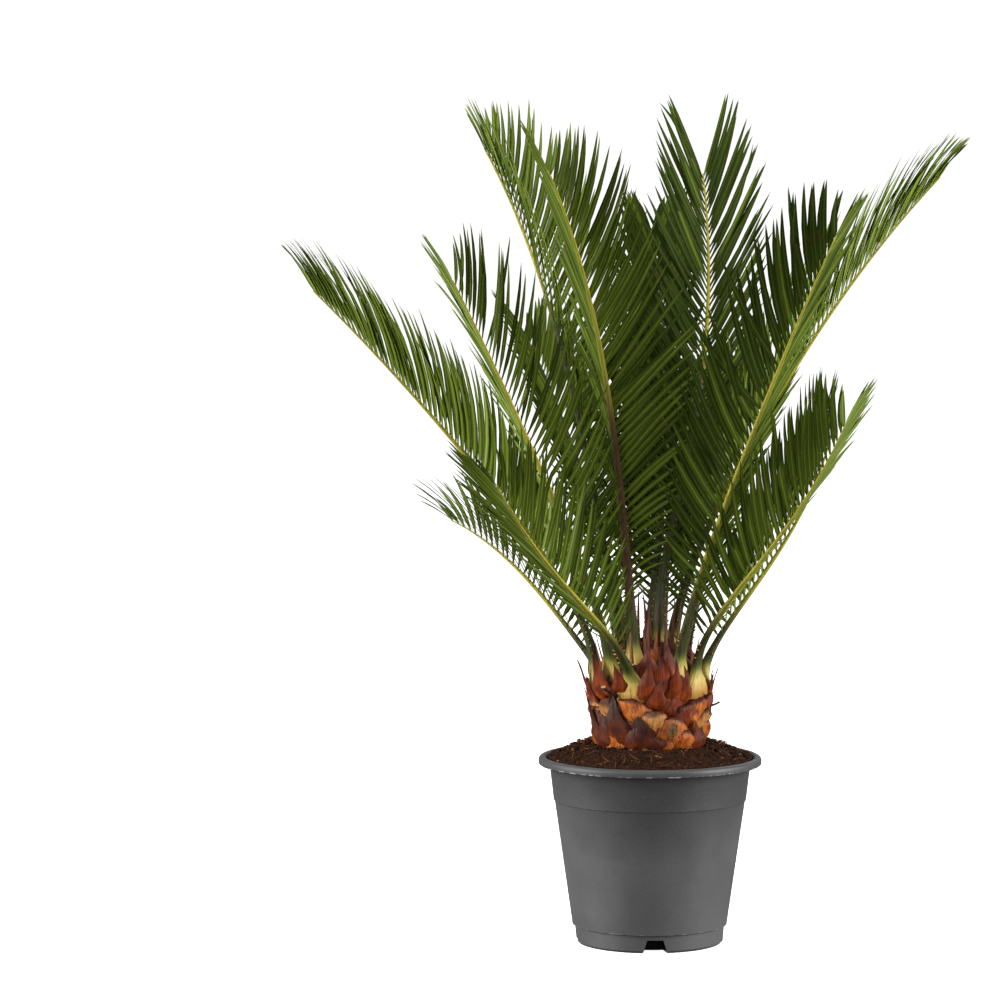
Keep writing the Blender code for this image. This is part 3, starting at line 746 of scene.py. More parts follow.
def place_crumb(master, rng):
    """A crumb of half a millimetre to three, flattened, turned and sunk into the surface."""
    spot = Vector((*place_on_ring(rng, 0.038, RIM_INNER_RADIUS - 0.0015), 0.0))
    size = 0.0004 + 0.0015 * rng.random() ** 3
    spot.z = soil_surface(spot.x, spot.y) + size * rng.uniform(-0.1, 0.5)
    form = np.array([rng.uniform(0.7, 1.5), rng.uniform(0.6, 1.1), rng.uniform(0.45, 0.8)]) * size
    rough = 1.0 + 0.25 * np.array([[rng.uniform(-1.0, 1.0)] for _ in master.places])
    spin = rng.uniform(0.0, math.tau)
    c, s = math.cos(spin), math.sin(spin)
    turned = (master.places * rough * form) @ np.array([[c, s, 0.0], [-s, c, 0.0], [0.0, 0.0, 1.0]])
    return copy_of(master, turned + np.array(spot), rng.choices((0, 1, 2), (7, 3, 1))[0])


def place_fibre(rng):
    """A thin curved root fibre that lies on the soil, its ends dipping into it."""
    x, y = place_on_ring(rng, 0.041, 0.066)
    length = rng.uniform(0.004, 0.016)
    thick = rng.uniform(0.00012, 0.00032)
    course = rng.uniform(0.0, math.tau)
    bend = rng.uniform(-1.6, 1.6)
    sections, straights = [], []
    for step in range(FIBRE_STEPS + 1):
        share = step / FIBRE_STEPS
        limit = min(1.0, FIBRE_LIMIT / math.hypot(x, y))
        z = soil_surface(x * limit, y * limit) + thick * 1.5 + 0.0012 * math.sin(share * math.pi)
        middle = Vector((x * limit, y * limit, z))
        width = thick * (1.0 - 0.6 * share)
        side = Vector((-math.sin(course), math.cos(course), 0.0)) * width
        sections.append([middle + side, middle + Vector((0, 0, width)), middle - side])
        straights.append([(0.0, 0.0, share * length)] * 3)
        x += math.cos(course) * length / FIBRE_STEPS
        y += math.sin(course) * length / FIBRE_STEPS
        course += bend / FIBRE_STEPS
    copy = read_master(bar(sections, straights))
    return copy._replace(slots=np.full(len(copy.faces), rng.choices((0, 1), (3, 2))[0]))


# %% Build the soil
soil_rng = random.Random(SOIL_SEED)
add_piece("soil_heap", soil_body(), [peat()], ["soil"])
crumb_shape = crumb_master()
crumb_colours = [
    crumb_finish("crumb_dark", (58, 35, 23), (22, 12, 8)),
    crumb_finish("crumb_brown", (96, 58, 34), (48, 27, 17)),
    crumb_finish("crumb_tan", (150, 104, 64), (90, 56, 32)),
]
add_piece("soil_crumbs", [place_crumb(crumb_shape, soil_rng) for _ in range(CRUMB_COUNT)],
          crumb_colours, [])
fibre_colours = [
    crumb_finish("root_tan", (151, 105, 66), (104, 66, 38)),
    crumb_finish("root_brown", (99, 60, 36), (60, 34, 22)),
]
add_piece("soil_fibres", [place_fibre(soil_rng) for _ in range(FIBRE_COUNT)], fibre_colours,
          [])

# %% [markdown]
# ## How a frond grows
#
# These rules are the ones that the CAD model was made by. A frond starts at the trunk, leans out
# within its first few centimetres, and then arches slowly to its tip. Azimuth is counted from
# the picture's right, lean from the vertical, both in degrees. The rib's centre line is found by
# small steps along that heading. Here it gets more stations than the CAD model has.

# %% The fronds and the rule of their ribs
FOOT_BEND = 0.12
FULL_FROND = 0.33
STALK_SHARE = 0.13
FOOT_SWELL_SHARE = 0.07
RIB_FOOT_WIDTH = 0.0114
RIB_WIDTH = 0.0075
RIB_TIP_WIDTH = 0.0012
RIB_SIZE_POWER = 0.32

Frond = namedtuple("Frond", "name azimuth sweep length foot_lean mid_lean tip_lean "
                            "foot_azimuth foot_radius foot_height")
FRONDS = [Frond(*row) for row in (
    ("frond_left_outer", 180, 0, 0.323, 1, 38, 46, 184, 0.037, 0.181),
    ("frond_left_front", 226, 0, 0.300, 11, 30, 34, 218, 0.033, 0.187),
    ("frond_front_low", 244, 0, 0.240, 28, 63, 46, 250, 0.036, 0.180),
    ("frond_left_low", 150, -7, 0.159, 45, 42, 73, 158, 0.036, 0.182),
    ("frond_left_tall", 135, 2, 0.365, 14, 13, 38, 140, 0.026, 0.196),
    ("frond_front_tall", 238, 2, 0.345, 7, 8, 40, 244, 0.025, 0.196),
    ("frond_centre_tall", 50, 51, 0.357, -18, 34, 31, 40, 0.010, 0.202),
    ("frond_right_front", -42, 3, 0.318, 8, 25, 29, -50, 0.030, 0.188),
    ("frond_right_tall", 8, 0, 0.366, 4, 27, 44, 40, 0.020, 0.200),
    ("frond_right_low", -38, 0, 0.215, -6, 48, 27, -31, 0.036, 0.180),
    ("frond_right_outer", 18, 0, 0.197, 14, 43, 10, 8, 0.036, 0.181),
    ("frond_back_tall", 70, 35, 0.308, 12, 24, 36, 92, 0.021, 0.198),
    ("frond_back_left", 114, 0, 0.285, 15, 38, 54, 114, 0.034, 0.185),
    ("frond_back_middle", 86, 0, 0.270, 18, 46, 60, 77, 0.034, 0.183),
    ("frond_back_right", 62, 0, 0.258, 14, 36, 50, 50, 0.035, 0.183),
)]
PATH_STEPS = 240
RibPoint = namedtuple("RibPoint", "place along side upper width")


def heading(frond, share):
    """Azimuth and lean of the rib, in radians, at a share of its length."""
    settle = 1.0 - math.exp(-share / FOOT_BEND)
    lean = blend(frond.foot_lean, frond.mid_lean, settle)
    lean += (frond.tip_lean - frond.mid_lean) * share * share
    return math.radians(frond.azimuth + frond.sweep * share), math.radians(lean)


def directions(azimuth, lean):
    """Along the rib, to its side, and out of its upper face."""
    level = Vector((*polar(1.0, azimuth), 0.0))
    along = level * math.sin(lean) + Vector((0.0, 0.0, math.cos(lean)))
    side = Vector((math.sin(azimuth), -math.cos(azimuth), 0.0))
    return along, side, side.cross(along)


def rib_width(frond, share):
    """The foot is swollen, and the rib then tapers to its tip."""
    size = (frond.length / FULL_FROND) ** RIB_SIZE_POWER
    taper = blend(RIB_WIDTH, RIB_TIP_WIDTH, share ** 0.8)
    swell = (RIB_FOOT_WIDTH - RIB_WIDTH) * math.exp(-((share / FOOT_SWELL_SHARE) ** 2))
    return (taper + swell) * size


def rib_path(frond):
    """The rib's centre line as evenly spaced points from foot to tip."""
    places = [Vector((*polar(frond.foot_radius, math.radians(frond.foot_azimuth)), frond.foot_height))]
    for step in range(PATH_STEPS):
        along = directions(*heading(frond, (step + 0.5) / PATH_STEPS))[0]
        places.append(places[-1] + along * frond.length / PATH_STEPS)
    return places


PATHS = {frond.name: rib_path(frond) for frond in FRONDS}


def rib_point(frond, share):
    """Everything about the rib at a share of its length."""
    path = PATHS[frond.name]
    step = min(share * PATH_STEPS, PATH_STEPS - 1e-6)
    first = int(step)
    place = path[first].lerp(path[first + 1], step - first)
    return RibPoint(place, *directions(*heading(frond, share)), rib_width(frond, share))


print(f"{len(FRONDS)} fronds, {sum(frond.length for frond in FRONDS):.2f} m of rib in all")

# %% [markdown]
# ## How the fronds differ
#
# Their rule is one, and this table holds what sets each frond apart. How far its leaflets are
# closed, folded up, rolled to one side or curled, and how long the last ones are, follows the
# CAD model. The rest is for the eye: the tones of its leaflets from foot to tip, from 0 for
# deep painted shade to 1 for bright painted light, where its rib turns golden, how loose and
# slim its leaflets are, and which of its two rows is painted lighter, as if lit.

# %% How the fronds differ
LEAFLET_LAST_LENGTH = 0.30
Look = namedtuple("Look", "tones gold loose slim lit closed fold roll curls last",
                  defaults=(None, 1.0, 1.0, 0.0, 0.0, 0.0, 0.0, None, LEAFLET_LAST_LENGTH))
# Low tones paint shade onto a frond and high tones paint light and sheen; lit picks the row that is painted
# lighter.
PLAIN_LOOK = Look((0.15, 0.30), 0.25)
LOOKS = {
    "frond_left_outer": Look((0.50, 0.60), closed=6.0, fold=6.0, last=0.45),
    "frond_left_front": Look((0.45, 0.70), 0.10, 1.7, 0.66, 1.0, roll=-15.0),
    "frond_front_low": Look((0.40, 0.55), None, 1.9, 0.80, 0.4, roll=-17.0),
    "frond_left_low": Look((0.80, 0.95), slim=0.80),
    "frond_left_tall": Look((0.40, 1.00), 0.22, 1.5, 0.90, fold=8.0),
    "frond_front_tall": Look((0.20, 0.70), 0.15, 1.0, 0.80, fold=-8.0, roll=5.0, curls=(-16.0, 8.0)),
    "frond_centre_tall": Look((0.00, 0.05), 0.18, 2.0, closed=-4.0, last=0.72),
    "frond_right_front": Look((0.05, 0.25), None, 1.6, 1.12, -1.0, roll=22.0),
    "frond_right_tall": Look((0.65, 1.00), 0.07, 1.5, closed=12.0),
    "frond_right_low": Look((0.60, 0.85), lit=-1.0, roll=20.0),
    "frond_right_outer": Look((0.60, 0.65)),
    "frond_back_tall": Look((0.02, 0.10), 0.30, slim=1.45),
}
BROWNED = "frond_front_tall"


def look_of(frond):
    return LOOKS.get(frond.name, PLAIN_LOOK)


# %% [markdown]
# ## Ribs
#
# A rib starts as a broad cream-coloured base that clasps the trunk, narrows within a centimetre
# into a deep green stalk with short thorns on its two edges, and runs on between the leaflets as
# a golden line. Each rib is one bar of twelve sides. The base is the same bar, its first
# sections wide and flat. The colours follow the length and the side of the bar, so the finish
# reads the `straight` attribute, where the third number is the distance from the foot.

# %% The ribs' shape
RIB_SIDES = 12
RIB_STATIONS = 46
RIB_UPPER_DEPTH = 0.40
RIB_LOWER_DEPTH = 0.36
NECK_SHARE = 0.06
BASE_SINK = 0.0130
BASE_LENGTH = 0.0085
BASE_WIDTH = 0.0225
INNER_BASE_WIDTH = 0.0120
OUTER_FOOT_RADIUS = 0.037
BASE_DEPTH = 0.0080


def rib_section(frond, distance):
    """The rib's corners at a distance from its foot, and their straightened places."""
    point = rib_point(frond, max(distance, 0.0) / frond.length)
    middle = point.place + Vector((0.0, 0.0, min(distance, 0.0)))
    swell = eased(held((BASE_LENGTH - distance) / (BASE_LENGTH + 0.5 * BASE_SINK)))
    base = blend(INNER_BASE_WIDTH, BASE_WIDTH, min(frond.foot_radius / OUTER_FOOT_RADIUS, 1.0) ** 2)
    width = blend(point.width if distance > BASE_LENGTH else rib_width(frond, NECK_SHARE), base, swell)
    upper = blend(point.width * RIB_UPPER_DEPTH, BASE_DEPTH * 0.5, swell)
    lower = blend(point.width * RIB_LOWER_DEPTH, BASE_DEPTH * 0.5, swell)
    corners, marks = [], []
    for index in range(RIB_SIDES):
        angle = math.tau * index / RIB_SIDES
        across, up = math.cos(angle), math.sin(angle)
        depth = upper if up > 0.0 else lower
        corners.append(middle + point.side * across * width / 2.0 + point.upper * up * depth)
        marks.append((across, up, distance))
    return corners, marks


def rib_distances(frond):
    """Stations close together at the base, and further apart along the rib."""
    base = [-BASE_SINK, -0.5 * BASE_SINK] + [share * BASE_LENGTH for share in (0.0, 0.25, 0.5, 0.75, 1.0)]
    rest = [BASE_LENGTH + (frond.length - BASE_LENGTH) * (k + 1) / RIB_STATIONS
            for k in range(RIB_STATIONS)]
    return base + rest


def rib_bar(frond, distances):
    return bar(*zip(*(rib_section(frond, distance) for distance in distances)))


# %% The ribs' finish
def rib_finish(name, gold_from, browned):
    """Cream at the base, then green, or brown on one frond; golden where the leaflets begin."""
    made = Finish(name, 0.45, 0.3)
    distance, up = made.straight("Z"), made.straight("Y")
    streaks = made.fibre(5.0, 60.0, 0.35, 0.65)
    stains = made.fibre(7.0, 130.0, 0.55, 0.7)
    upper = made.mix(streaks, (164, 160, 46), (200, 188, 58))
    lower = made.mix(streaks, (140, 140, 42), (176, 168, 56))
    gold = made.mix(made.between(up, -0.9, 0.3), lower, upper)
    cream = made.mix(made.between(distance, -0.010, 0.002), (186, 140, 70), (206, 182, 96))
    cream = made.mix(made.math("MULTIPLY", stains, 0.65), cream, (150, 88, 40))
    made.colour = made.mix(streaks, (42, 50, 18), (70, 78, 32))
    made.coat((92, 72, 44), made.mottle(120.0, 0.35, 0.7), 0.35)
    if browned:
        made.coat((84, 52, 30), made.between(distance, 0.022, 0.048, 0.0, 0.85))
    made.coat(gold, made.between(distance, gold_from, gold_from + 0.055))
    made.coat((138, 142, 56), made.between(distance, 0.002, 0.013, 1.0, 0.0))
    made.coat(cream, made.between(distance, -0.002, 0.009, 1.0, 0.0))
    return made.done((streaks, 0.00025), rough=(streaks, 0.36, 0.5))


# %% Build the ribs
ribs = {}
for frond in FRONDS:
    name = f"rib_{frond.name[6:]}"
    gold_from = look_of(frond).gold or STALK_SHARE * frond.length
    ribs[frond.name] = add_piece(name, rib_bar(frond, rib_distances(frond)),
                                 [rib_finish(name, gold_from, frond.name == BROWNED)],
                                 [frond.name])

# %% [markdown]
# ## Leaflets
#
# Each frond carries two rows of narrow, stiff leaflets that rise from the rib in a shallow V.
# The margins roll under, the middle vein shows as a paler line on the upper face, and the
# lower face is paler and dull. There are well over a thousand, so one master is pushed through
# seven sections to a point, and numpy bends a copy of its corners for each place on each frond.
# Their colours have a place, such as vein, margin and tip, so they are plain materials dealt
# out to the master's faces, and the finer grain is a pattern within each of these. The margin's
# dark green is painted shade in its roll, and each leaflet takes painted-shade, plain or
# painted-light copies of its green, vein and underside, by its frond's tones, its row and chance.

# %% The leaflets' rule
LEAFLET_SPACING = 0.0053
LEAFLET_WIDTH = 0.0044
LEAFLET_FIRST_WIDTH = 0.42
LEAFLET_TIP_WIDTH = 0.80
LEAFLET_BASE_LENGTH = 0.050
LEAFLET_LENGTH_SHARE = 0.10
LEAFLET_FIRST_LENGTH = 0.25
LEAFLET_FULL_FROM = 0.42
LEAFLET_FULL_TO = 0.60
LEAFLET_RISE = 1.4
LEAFLET_FALL = 3.5
LEAFLET_CURL = math.radians(10.0)
LEAFLET_DROOP = math.radians(9.0)
LEAFLET_TILT_LOW = math.radians(-11.0)
LEAFLET_TILT_TIP = math.radians(-25.0)
LEAFLET_FLATNESS = 0.5
SPREAD_LOW = math.radians(64.0)
SPREAD_MIDDLE = math.radians(41.0)
SPREAD_TIP = math.radians(20.0)
KEEL_LOW = math.radians(40.0)
KEEL_FULL = math.radians(50.0)
KEEL_FULL_FROM = 0.3
LEAFLET_SEED = 5


def leaflet_length(frond, leafy):
    """Leaflets lengthen from the stalk to the middle of the frond and shorten to its tip."""
    longest = LEAFLET_BASE_LENGTH + LEAFLET_LENGTH_SHARE * frond.length
    rise = 1.0 - min(leafy / LEAFLET_FULL_FROM, 1.0)
    fall = max((leafy - LEAFLET_FULL_TO) / (1.0 - LEAFLET_FULL_TO), 0.0)
    return longest * blend(1.0, LEAFLET_FIRST_LENGTH, rise ** LEAFLET_RISE) * blend(
        1.0, look_of(frond).last, fall ** LEAFLET_FALL)


def leaflet_spread(frond, leafy):
    """The angle between a leaflet and the rib narrows towards the frond's tip."""
    closed = math.radians(look_of(frond).closed) * min(leafy * 2.0, 1.0)
    if leafy < 0.5:
        return blend(SPREAD_LOW, SPREAD_MIDDLE, leafy * 2.0) - closed
    return blend(SPREAD_MIDDLE, SPREAD_TIP, leafy * 2.0 - 1.0) - closed


# %% The master leaflet
LEAFLET_SECTION = ((-1.0, -0.42), (-0.80, -0.06), (-0.24, 0.08), (0.24, 0.08),
                   (0.80, -0.06), (1.0, -0.42), (0.24, -0.24), (-0.24, -0.24))
LEAFLET_OUTLINE = ((0.0, 0.30), (0.055, 0.42), (0.15, 0.86), (0.34, 1.0),
                   (0.57, 0.92), (0.77, 0.66), (0.92, 0.32))
# Slots 0 and 2 and the last four are painted-shade and painted-light copies of the plain green, vein and
# underside.
(SLOT_SHADED, SLOT_GREEN, SLOT_LIT, SLOT_MARGIN, SLOT_VEIN, SLOT_UNDER, SLOT_BASE, SLOT_POINT,
 SLOT_SHADED_VEIN, SLOT_LIT_VEIN, SLOT_SHADED_UNDER, SLOT_LIT_UNDER) = range(12)
BASE_TO, POINT_FROM = 0.026, 0.95
VEIN_TO, MARGIN_FROM, UNDER_FROM = 0.1, 0.84, -0.13


def leaflet_slot(middle):
    """Which finish a face of the master takes, from its place across, above and along."""
    along = middle[2]
    if along > POINT_FROM:
        return SLOT_POINT
    if along < BASE_TO:
        return SLOT_BASE
    half = np.interp(along, *zip(*LEAFLET_OUTLINE))
    across, height = abs(middle[0]) / half, middle[1] / half
    if across < VEIN_TO:
        return SLOT_VEIN
    if across > MARGIN_FROM:
        return SLOT_MARGIN
    return SLOT_GREEN if height > UNDER_FROM else SLOT_UNDER


def leaflet_master():
    sections = [[Vector((x * width, along, z * width)) for x, z in LEAFLET_SECTION]
                for along, width in LEAFLET_OUTLINE]
    marks = [[(x * width, z * width, along) for x, z in LEAFLET_SECTION]
             for along, width in LEAFLET_OUTLINE]
    return read_master(bar(sections, marks, Vector((0.0, 1.0, -0.05)), (0.0, -0.05, 1.0)), leaflet_slot)


# %% Bend a leaflet into its place
CURVE = np.linspace(0.0, 1.0, 17)
# shares of the length, and degrees added to keel and spread
TRIES = ((1.0, 0, 0), (1.0, 8, 0), (1.0, -8, 0), (1.0, 0, -7), (1.0, 14, -5), (0.86, 0, 0),
         (0.86, 12, -5), (0.72, 0, 0), (0.72, 12, -6), (0.58, 0, 0), (0.45, 0, -6))
ROOT_SIDE, ROOT_RISE = 0.30, 0.14
Leaflet = namedtuple("Leaflet", "point sign spread keel length width curl droop tilt")


def turned_ways(leaflet, shares):
    """The leaflet's directions at shares of its length, drooping away from its upper side."""
    along, side, upper = (np.array(leaflet.point[k]) for k in (1, 2, 3))
    outward = side * leaflet.sign * math.cos(leaflet.keel) + upper * math.sin(leaflet.keel)
    angles = leaflet.spread + leaflet.curl * (1.0 - 2.0 * shares)
    flat = np.outer(np.cos(angles), along) + np.outer(np.sin(angles), outward)
    normal = np.cross(outward, along)
    normal /= np.linalg.norm(normal)
    if normal @ upper < 0.0:
        normal = -normal
    sag = leaflet.droop * shares ** 1.5
    return flat * np.cos(sag)[:, None] - np.outer(np.sin(sag), normal)


def bend_leaflet(master, leaflet):
    """The master's corners laid along the leaflet's own curve."""
    point = leaflet.point
    along, side, upper = (np.array(point[k]) for k in (1, 2, 3))
    root = (np.array(point.place) + side * leaflet.sign * point.width * ROOT_SIDE
            + upper * point.width * ROOT_RISE)
    steps = turned_ways(leaflet, (CURVE[:-1] + CURVE[1:]) / 2.0)
    curve = root + np.vstack([np.zeros(3), np.cumsum(steps, axis=0)]) * leaflet.length / (len(CURVE) - 1)
    ways = turned_ways(leaflet, CURVE)
    across = along - ways * (ways @ along)[:, None]
    across /= np.linalg.norm(across, axis=1)[:, None]
    normals = np.cross(across, ways)
    mirrored = normals[0] @ upper < 0.0
    if mirrored:
        normals = -normals
    wide = across * math.cos(leaflet.tilt) - normals * math.sin(leaflet.tilt)
    high = normals * math.cos(leaflet.tilt) + across * math.sin(leaflet.tilt)

    def at(rows):
        return np.stack([np.interp(master.places[:, 1], CURVE, rows[:, k]) for k in range(3)], axis=1)

    half = leaflet.width / 2.0
    places = (at(curve) + at(wide) * master.places[:, :1] * half
              + at(high) * master.places[:, 2:] * (half * LEAFLET_FLATNESS))
    faces = [face[::-1] for face in master.faces] if mirrored else master.faces
    straights = master.places[:, (0, 2, 1)] * np.array([half, half, leaflet.length])
    return Master(places, straights, faces, master.slots)


# %% Grow the leaflets of a frond
# Painted shade, plain green and painted light, from dark to light.
TONES = (SLOT_SHADED, SLOT_GREEN, SLOT_LIT)
TONE_SLOTS = {
    SLOT_SHADED: {SLOT_GREEN: SLOT_SHADED, SLOT_VEIN: SLOT_SHADED_VEIN, SLOT_UNDER: SLOT_SHADED_UNDER,
                SLOT_BASE: SLOT_SHADED_VEIN},
    SLOT_GREEN: {SLOT_BASE: SLOT_VEIN},
    SLOT_LIT: {SLOT_GREEN: SLOT_LIT, SLOT_VEIN: SLOT_LIT_VEIN, SLOT_UNDER: SLOT_LIT_UNDER},
}
# How far one row of a frond is painted lighter and the other darker, as if lit from one side.
ROW_SHADE = 0.22
TONE_SCATTER = 0.38
# frond, index and row of single leaflets, with degrees added to their spread
STRAYS = {("frond_back_tall", 30, 1.0): 17.0, ("frond_right_front", 27, 1.0): 20.0,
          ("frond_right_front", 33, 1.0): 14.0, ("frond_left_low", 12, 1.0): 20.0}
STRAY_SHARE = 0.05
STRAY_LOOSE = 4.0
CLUMPS = 17.0
CLUMP_ANGLE = 8.0
# how far chance moves each measure: degrees for angles, else a share of it
SPREAD_SCATTER = 1.2
KEEL_SCATTER = 1.1
TILT_SCATTER = 2.0
LENGTH_SCATTER = 0.03
WIDTH_SCATTER = 0.05
DROOP_SCATTER = 0.22
ROW_SHIFT = 0.22
PLACE_SCATTER = 0.1
LAST_SHARE = 0.995


def plan_leaflet(frond, index, share, sign, rng):
    """One leaflet by the rule, with clumps, strays and chance added."""
    look = look_of(frond)
    leafy = (share - STALK_SHARE) / (1.0 - STALK_SHARE)
    stray = STRAYS.get((frond.name, index, sign), 0.0)
    stray += CLUMP_ANGLE * noise.noise(Vector((leafy * CLUMPS, frond.length * 90.0, sign * 3.3)))
    loose = (STRAY_LOOSE if rng.random() < STRAY_SHARE else 1.0) * look.loose
    fold = look.fold + sign * look.roll
    curl = math.radians(blend(*look.curls, min(leafy * 1.6, 1.0))) if look.curls else LEAFLET_CURL
    width = (LEAFLET_WIDTH * blend(LEAFLET_FIRST_WIDTH, 1.0, min(leafy * 4.5, 1.0))
             * blend(1.0, LEAFLET_TIP_WIDTH, leafy ** 3) * blend(1.0, look.slim, min(leafy * 1.3, 1.0)))
    return Leaflet(
        rib_point(frond, share), sign,
        leaflet_spread(frond, leafy) + math.radians(stray + rng.gauss(0.0, SPREAD_SCATTER) * loose),
        blend(KEEL_LOW, KEEL_FULL, min(leafy / KEEL_FULL_FROM, 1.0))
        + math.radians(fold + rng.gauss(0.0, KEEL_SCATTER) * loose),
        leaflet_length(frond, leafy) * (1.0 + rng.gauss(0.0, LENGTH_SCATTER)),
        width * (1.0 + rng.gauss(0.0, WIDTH_SCATTER)),
        curl,
        LEAFLET_DROOP * (1.0 + rng.gauss(0.0, DROOP_SCATTER) * loose),
        blend(LEAFLET_TILT_LOW, LEAFLET_TILT_TIP, leafy)
        + math.radians(rng.gauss(0.0, TILT_SCATTER) * loose))


def tree_of_copy(copy):
    return BVHTree.FromPolygons(copy.places.tolist(), copy.faces)


def clear_of(copy, trees):
    tree = tree_of_copy(copy)
    return not any(tree.overlap(other) for other in trees)


def fitted_leaflet(master, leaflet, neighbours):
    """The leaflet in the first of its tries that touches no neighbour, or nothing."""
    for reach, keel, spread in TRIES:
        bent = bend_leaflet(master, leaflet._replace(
            length=leaflet.length * reach, keel=leaflet.keel + math.radians(keel),
            spread=leaflet.spread + math.radians(spread)))
        if clear_of(bent, neighbours):
            return bent
    return None


def leaflet_tone(frond, share, sign, rng):
    """Painted shade, plain green or painted light, by the frond's tones, its painted lit row and chance."""
    look = look_of(frond)
    light = held(blend(*look.tones, share) + ROW_SHADE * sign * look.lit)
    return TONES[held(round(2.0 * light + rng.gauss(0.0, TONE_SCATTER)), 0, 2)]


def grow_leaflets(frond, master, neighbours, rng):
    count = round(frond.length * (1.0 - STALK_SHARE) / LEAFLET_SPACING)
    grown = []
    for index, sign in ((index, sign) for index in range(count) for sign in (1.0, -1.0)):
        shift = 0.5 + ROW_SHIFT * sign + rng.uniform(-PLACE_SCATTER, PLACE_SCATTER)
        share = STALK_SHARE + (1.0 - STALK_SHARE) * min((index + shift) / count, LAST_SHARE)
        bent = fitted_leaflet(master, plan_leaflet(frond, index, share, sign, rng), neighbours)
        if bent is None:
            continue
        tone = leaflet_tone(frond, share, sign, rng)
        slots = np.array([TONE_SLOTS[tone].get(slot, slot) for slot in bent.slots])
        offset = np.array([rng.uniform(0.0, 1.0), rng.uniform(0.0, 1.0), 0.0])
        grown.append(bent._replace(slots=slots, straights=bent.straights + offset))
    return grown


# %% The leaflets' finishes
DRY = (112, 74, 36)
# name, colour, fresher colour, roughness, in the order of the slots
LEAFLET_COLOURS = (
    # The first and third rows and the last four are painted-shade and painted-light copies of the green, vein
    # and underside.
    ("leaflet_deep", (40, 54, 8), (56, 72, 14), 0.5),
    ("leaflet_green", (72, 90, 16), (92, 110, 28), 0.5),
    # Painted shade: the rolled-under margin is darker than the green.
    ("leaflet_bright", (100, 120, 36), (120, 138, 54), 0.52),
    ("leaflet_margin", (42, 54, 10), (56, 70, 16), 0.54),
    ("leaflet_vein", (100, 116, 34), (118, 134, 48), 0.5),
    ("leaflet_underside", (66, 82, 18), (86, 102, 30), 0.62),
    ("leaflet_base", (112, 118, 36), (140, 140, 50), 0.54),
    ("leaflet_point", (116, 114, 46), (156, 128, 66), 0.58),
    ("leaflet_vein_deep", (62, 78, 18), (78, 94, 26), 0.5),
    ("leaflet_vein_bright", (126, 146, 60), (146, 162, 80), 0.52),
    ("leaflet_underside_deep", (38, 52, 8), (54, 68, 14), 0.62),
    ("leaflet_underside_bright", (92, 110, 42), (114, 130, 62), 0.62),
)


def leaflet_finish(name, colour, fresh, roughness):
    """One green with fine long streaks, soft yellower patches and a few brown flecks."""
    made = Finish(name, roughness, 0.08)
    streaks = made.fibre(2600.0, 45.0, 0.3, 0.7)
    made.colour = made.mix(made.math("MULTIPLY", streaks, 0.5), colour, fresh)
    made.coat(fresh, made.mottle(22.0, 0.42, 0.72), 0.4)
    made.coat(DRY, made.fibre(700.0, 160.0, 0.66, 0.72), 0.55)
    return made.done((streaks, 0.00006), rough=(streaks, roughness - 0.05, roughness + 0.08))


# %% Grow all fronds
def tree_of(obj):
    return BVHTree.FromPolygons([vert.co[:] for vert in obj.data.vertices],
                                [polygon.vertices[:] for polygon in obj.data.polygons])


leaflet_finishes = [leaflet_finish(*row) for row in LEAFLET_COLOURS]
leaflet_shape = leaflet_master()
rib_trees = {name: tree_of(obj) for name, obj in ribs.items()}
taken_trees = [tree_of(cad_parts[name]) for name in ("trunk", "pot")]
leaflet_count = 0
for index, frond in enumerate(FRONDS):
    others = [tree for name, tree in rib_trees.items() if name != frond.name]
    leaflets = grow_leaflets(frond, leaflet_shape, others + taken_trees,
                             random.Random(LEAFLET_SEED + index))
    leaflet_count += len(leaflets)
    obj = add_piece(f"leaflets_{frond.name[6:]}", leaflets, leaflet_finishes,
                    [frond.name], 35.0)
    taken_trees.append(tree_of(obj))
print(f"{leaflet_count} leaflets")

# %% [markdown]
# ## The trunk
#
# A young cycad has no bark yet. Its core is wrapped in what the leaves left behind: swollen,
# glossy bases where old fronds were cut off, dry papery scales that once covered the buds, and
# brown awls round the growing point. One carved body can't show how these overlap. So the core
# is a spun body with a fibrous relief, and each kind of wrapping is a master shape that is laid
# on the trunk by turn and height. The side that the photograph shows has its own list. The rest
# follows the spiral by which the plant itself sets its leaves.

# %% The trunk's surface
TRUNK_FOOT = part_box("trunk")[0].z
TRUNK_FOOT_RADIUS = 0.0368
TRUNK_WIDEST_RADIUS = 0.0385
TRUNK_WIDEST_HEIGHT = 0.172
TRUNK_TOP = 0.204
CORE_INSET = 0.0022
CORE_STEPS = 144
CORE_RINGS = 44
DOME_SHARE = 0.55
CORE_RELIEF = 0.0013
CORE_FIBRE_WIDTH = 0.0022
CORE_FIBRE_LENGTH = 0.014
SLOPE_REACH = 0.001
LEAST_CURVE = 0.012
Spot =namedtuple("Spot", "place side up outward radius")


def trunk_radius(height):
    """Nearly a cylinder up to its widest, and a dome above."""
    if height > TRUNK_WIDEST_HEIGHT:
        share = (height - TRUNK_WIDEST_HEIGHT) / (TRUNK_TOP - TRUNK_WIDEST_HEIGHT)
        return TRUNK_WIDEST_RADIUS * math.sqrt(max(0.0, 1.0 - share * share))
    share = (height - TRUNK_FOOT) / (TRUNK_WIDEST_HEIGHT - TRUNK_FOOT)
    return blend(TRUNK_FOOT_RADIUS, TRUNK_WIDEST_RADIUS, share)


def trunk_spot(turn, height):
    """A place on the trunk: turn in degrees from the front to the right, height in metres."""
    angle = math.radians(turn)
    level = Vector((math.sin(angle), -math.cos(angle), 0.0))
    side = Vector((math.cos(angle), math.sin(angle), 0.0))
    widening = trunk_radius(height + SLOPE_REACH) - trunk_radius(height - SLOPE_REACH)
    up = (level * widening + Vector((0.0, 0.0, 2.0 * SLOPE_REACH))).normalized()
    radius = trunk_radius(height)
    place = level * radius + Vector((0.0, 0.0, height))
    return Spot(place, side, up, side.cross(up), max(radius, LEAST_CURVE))


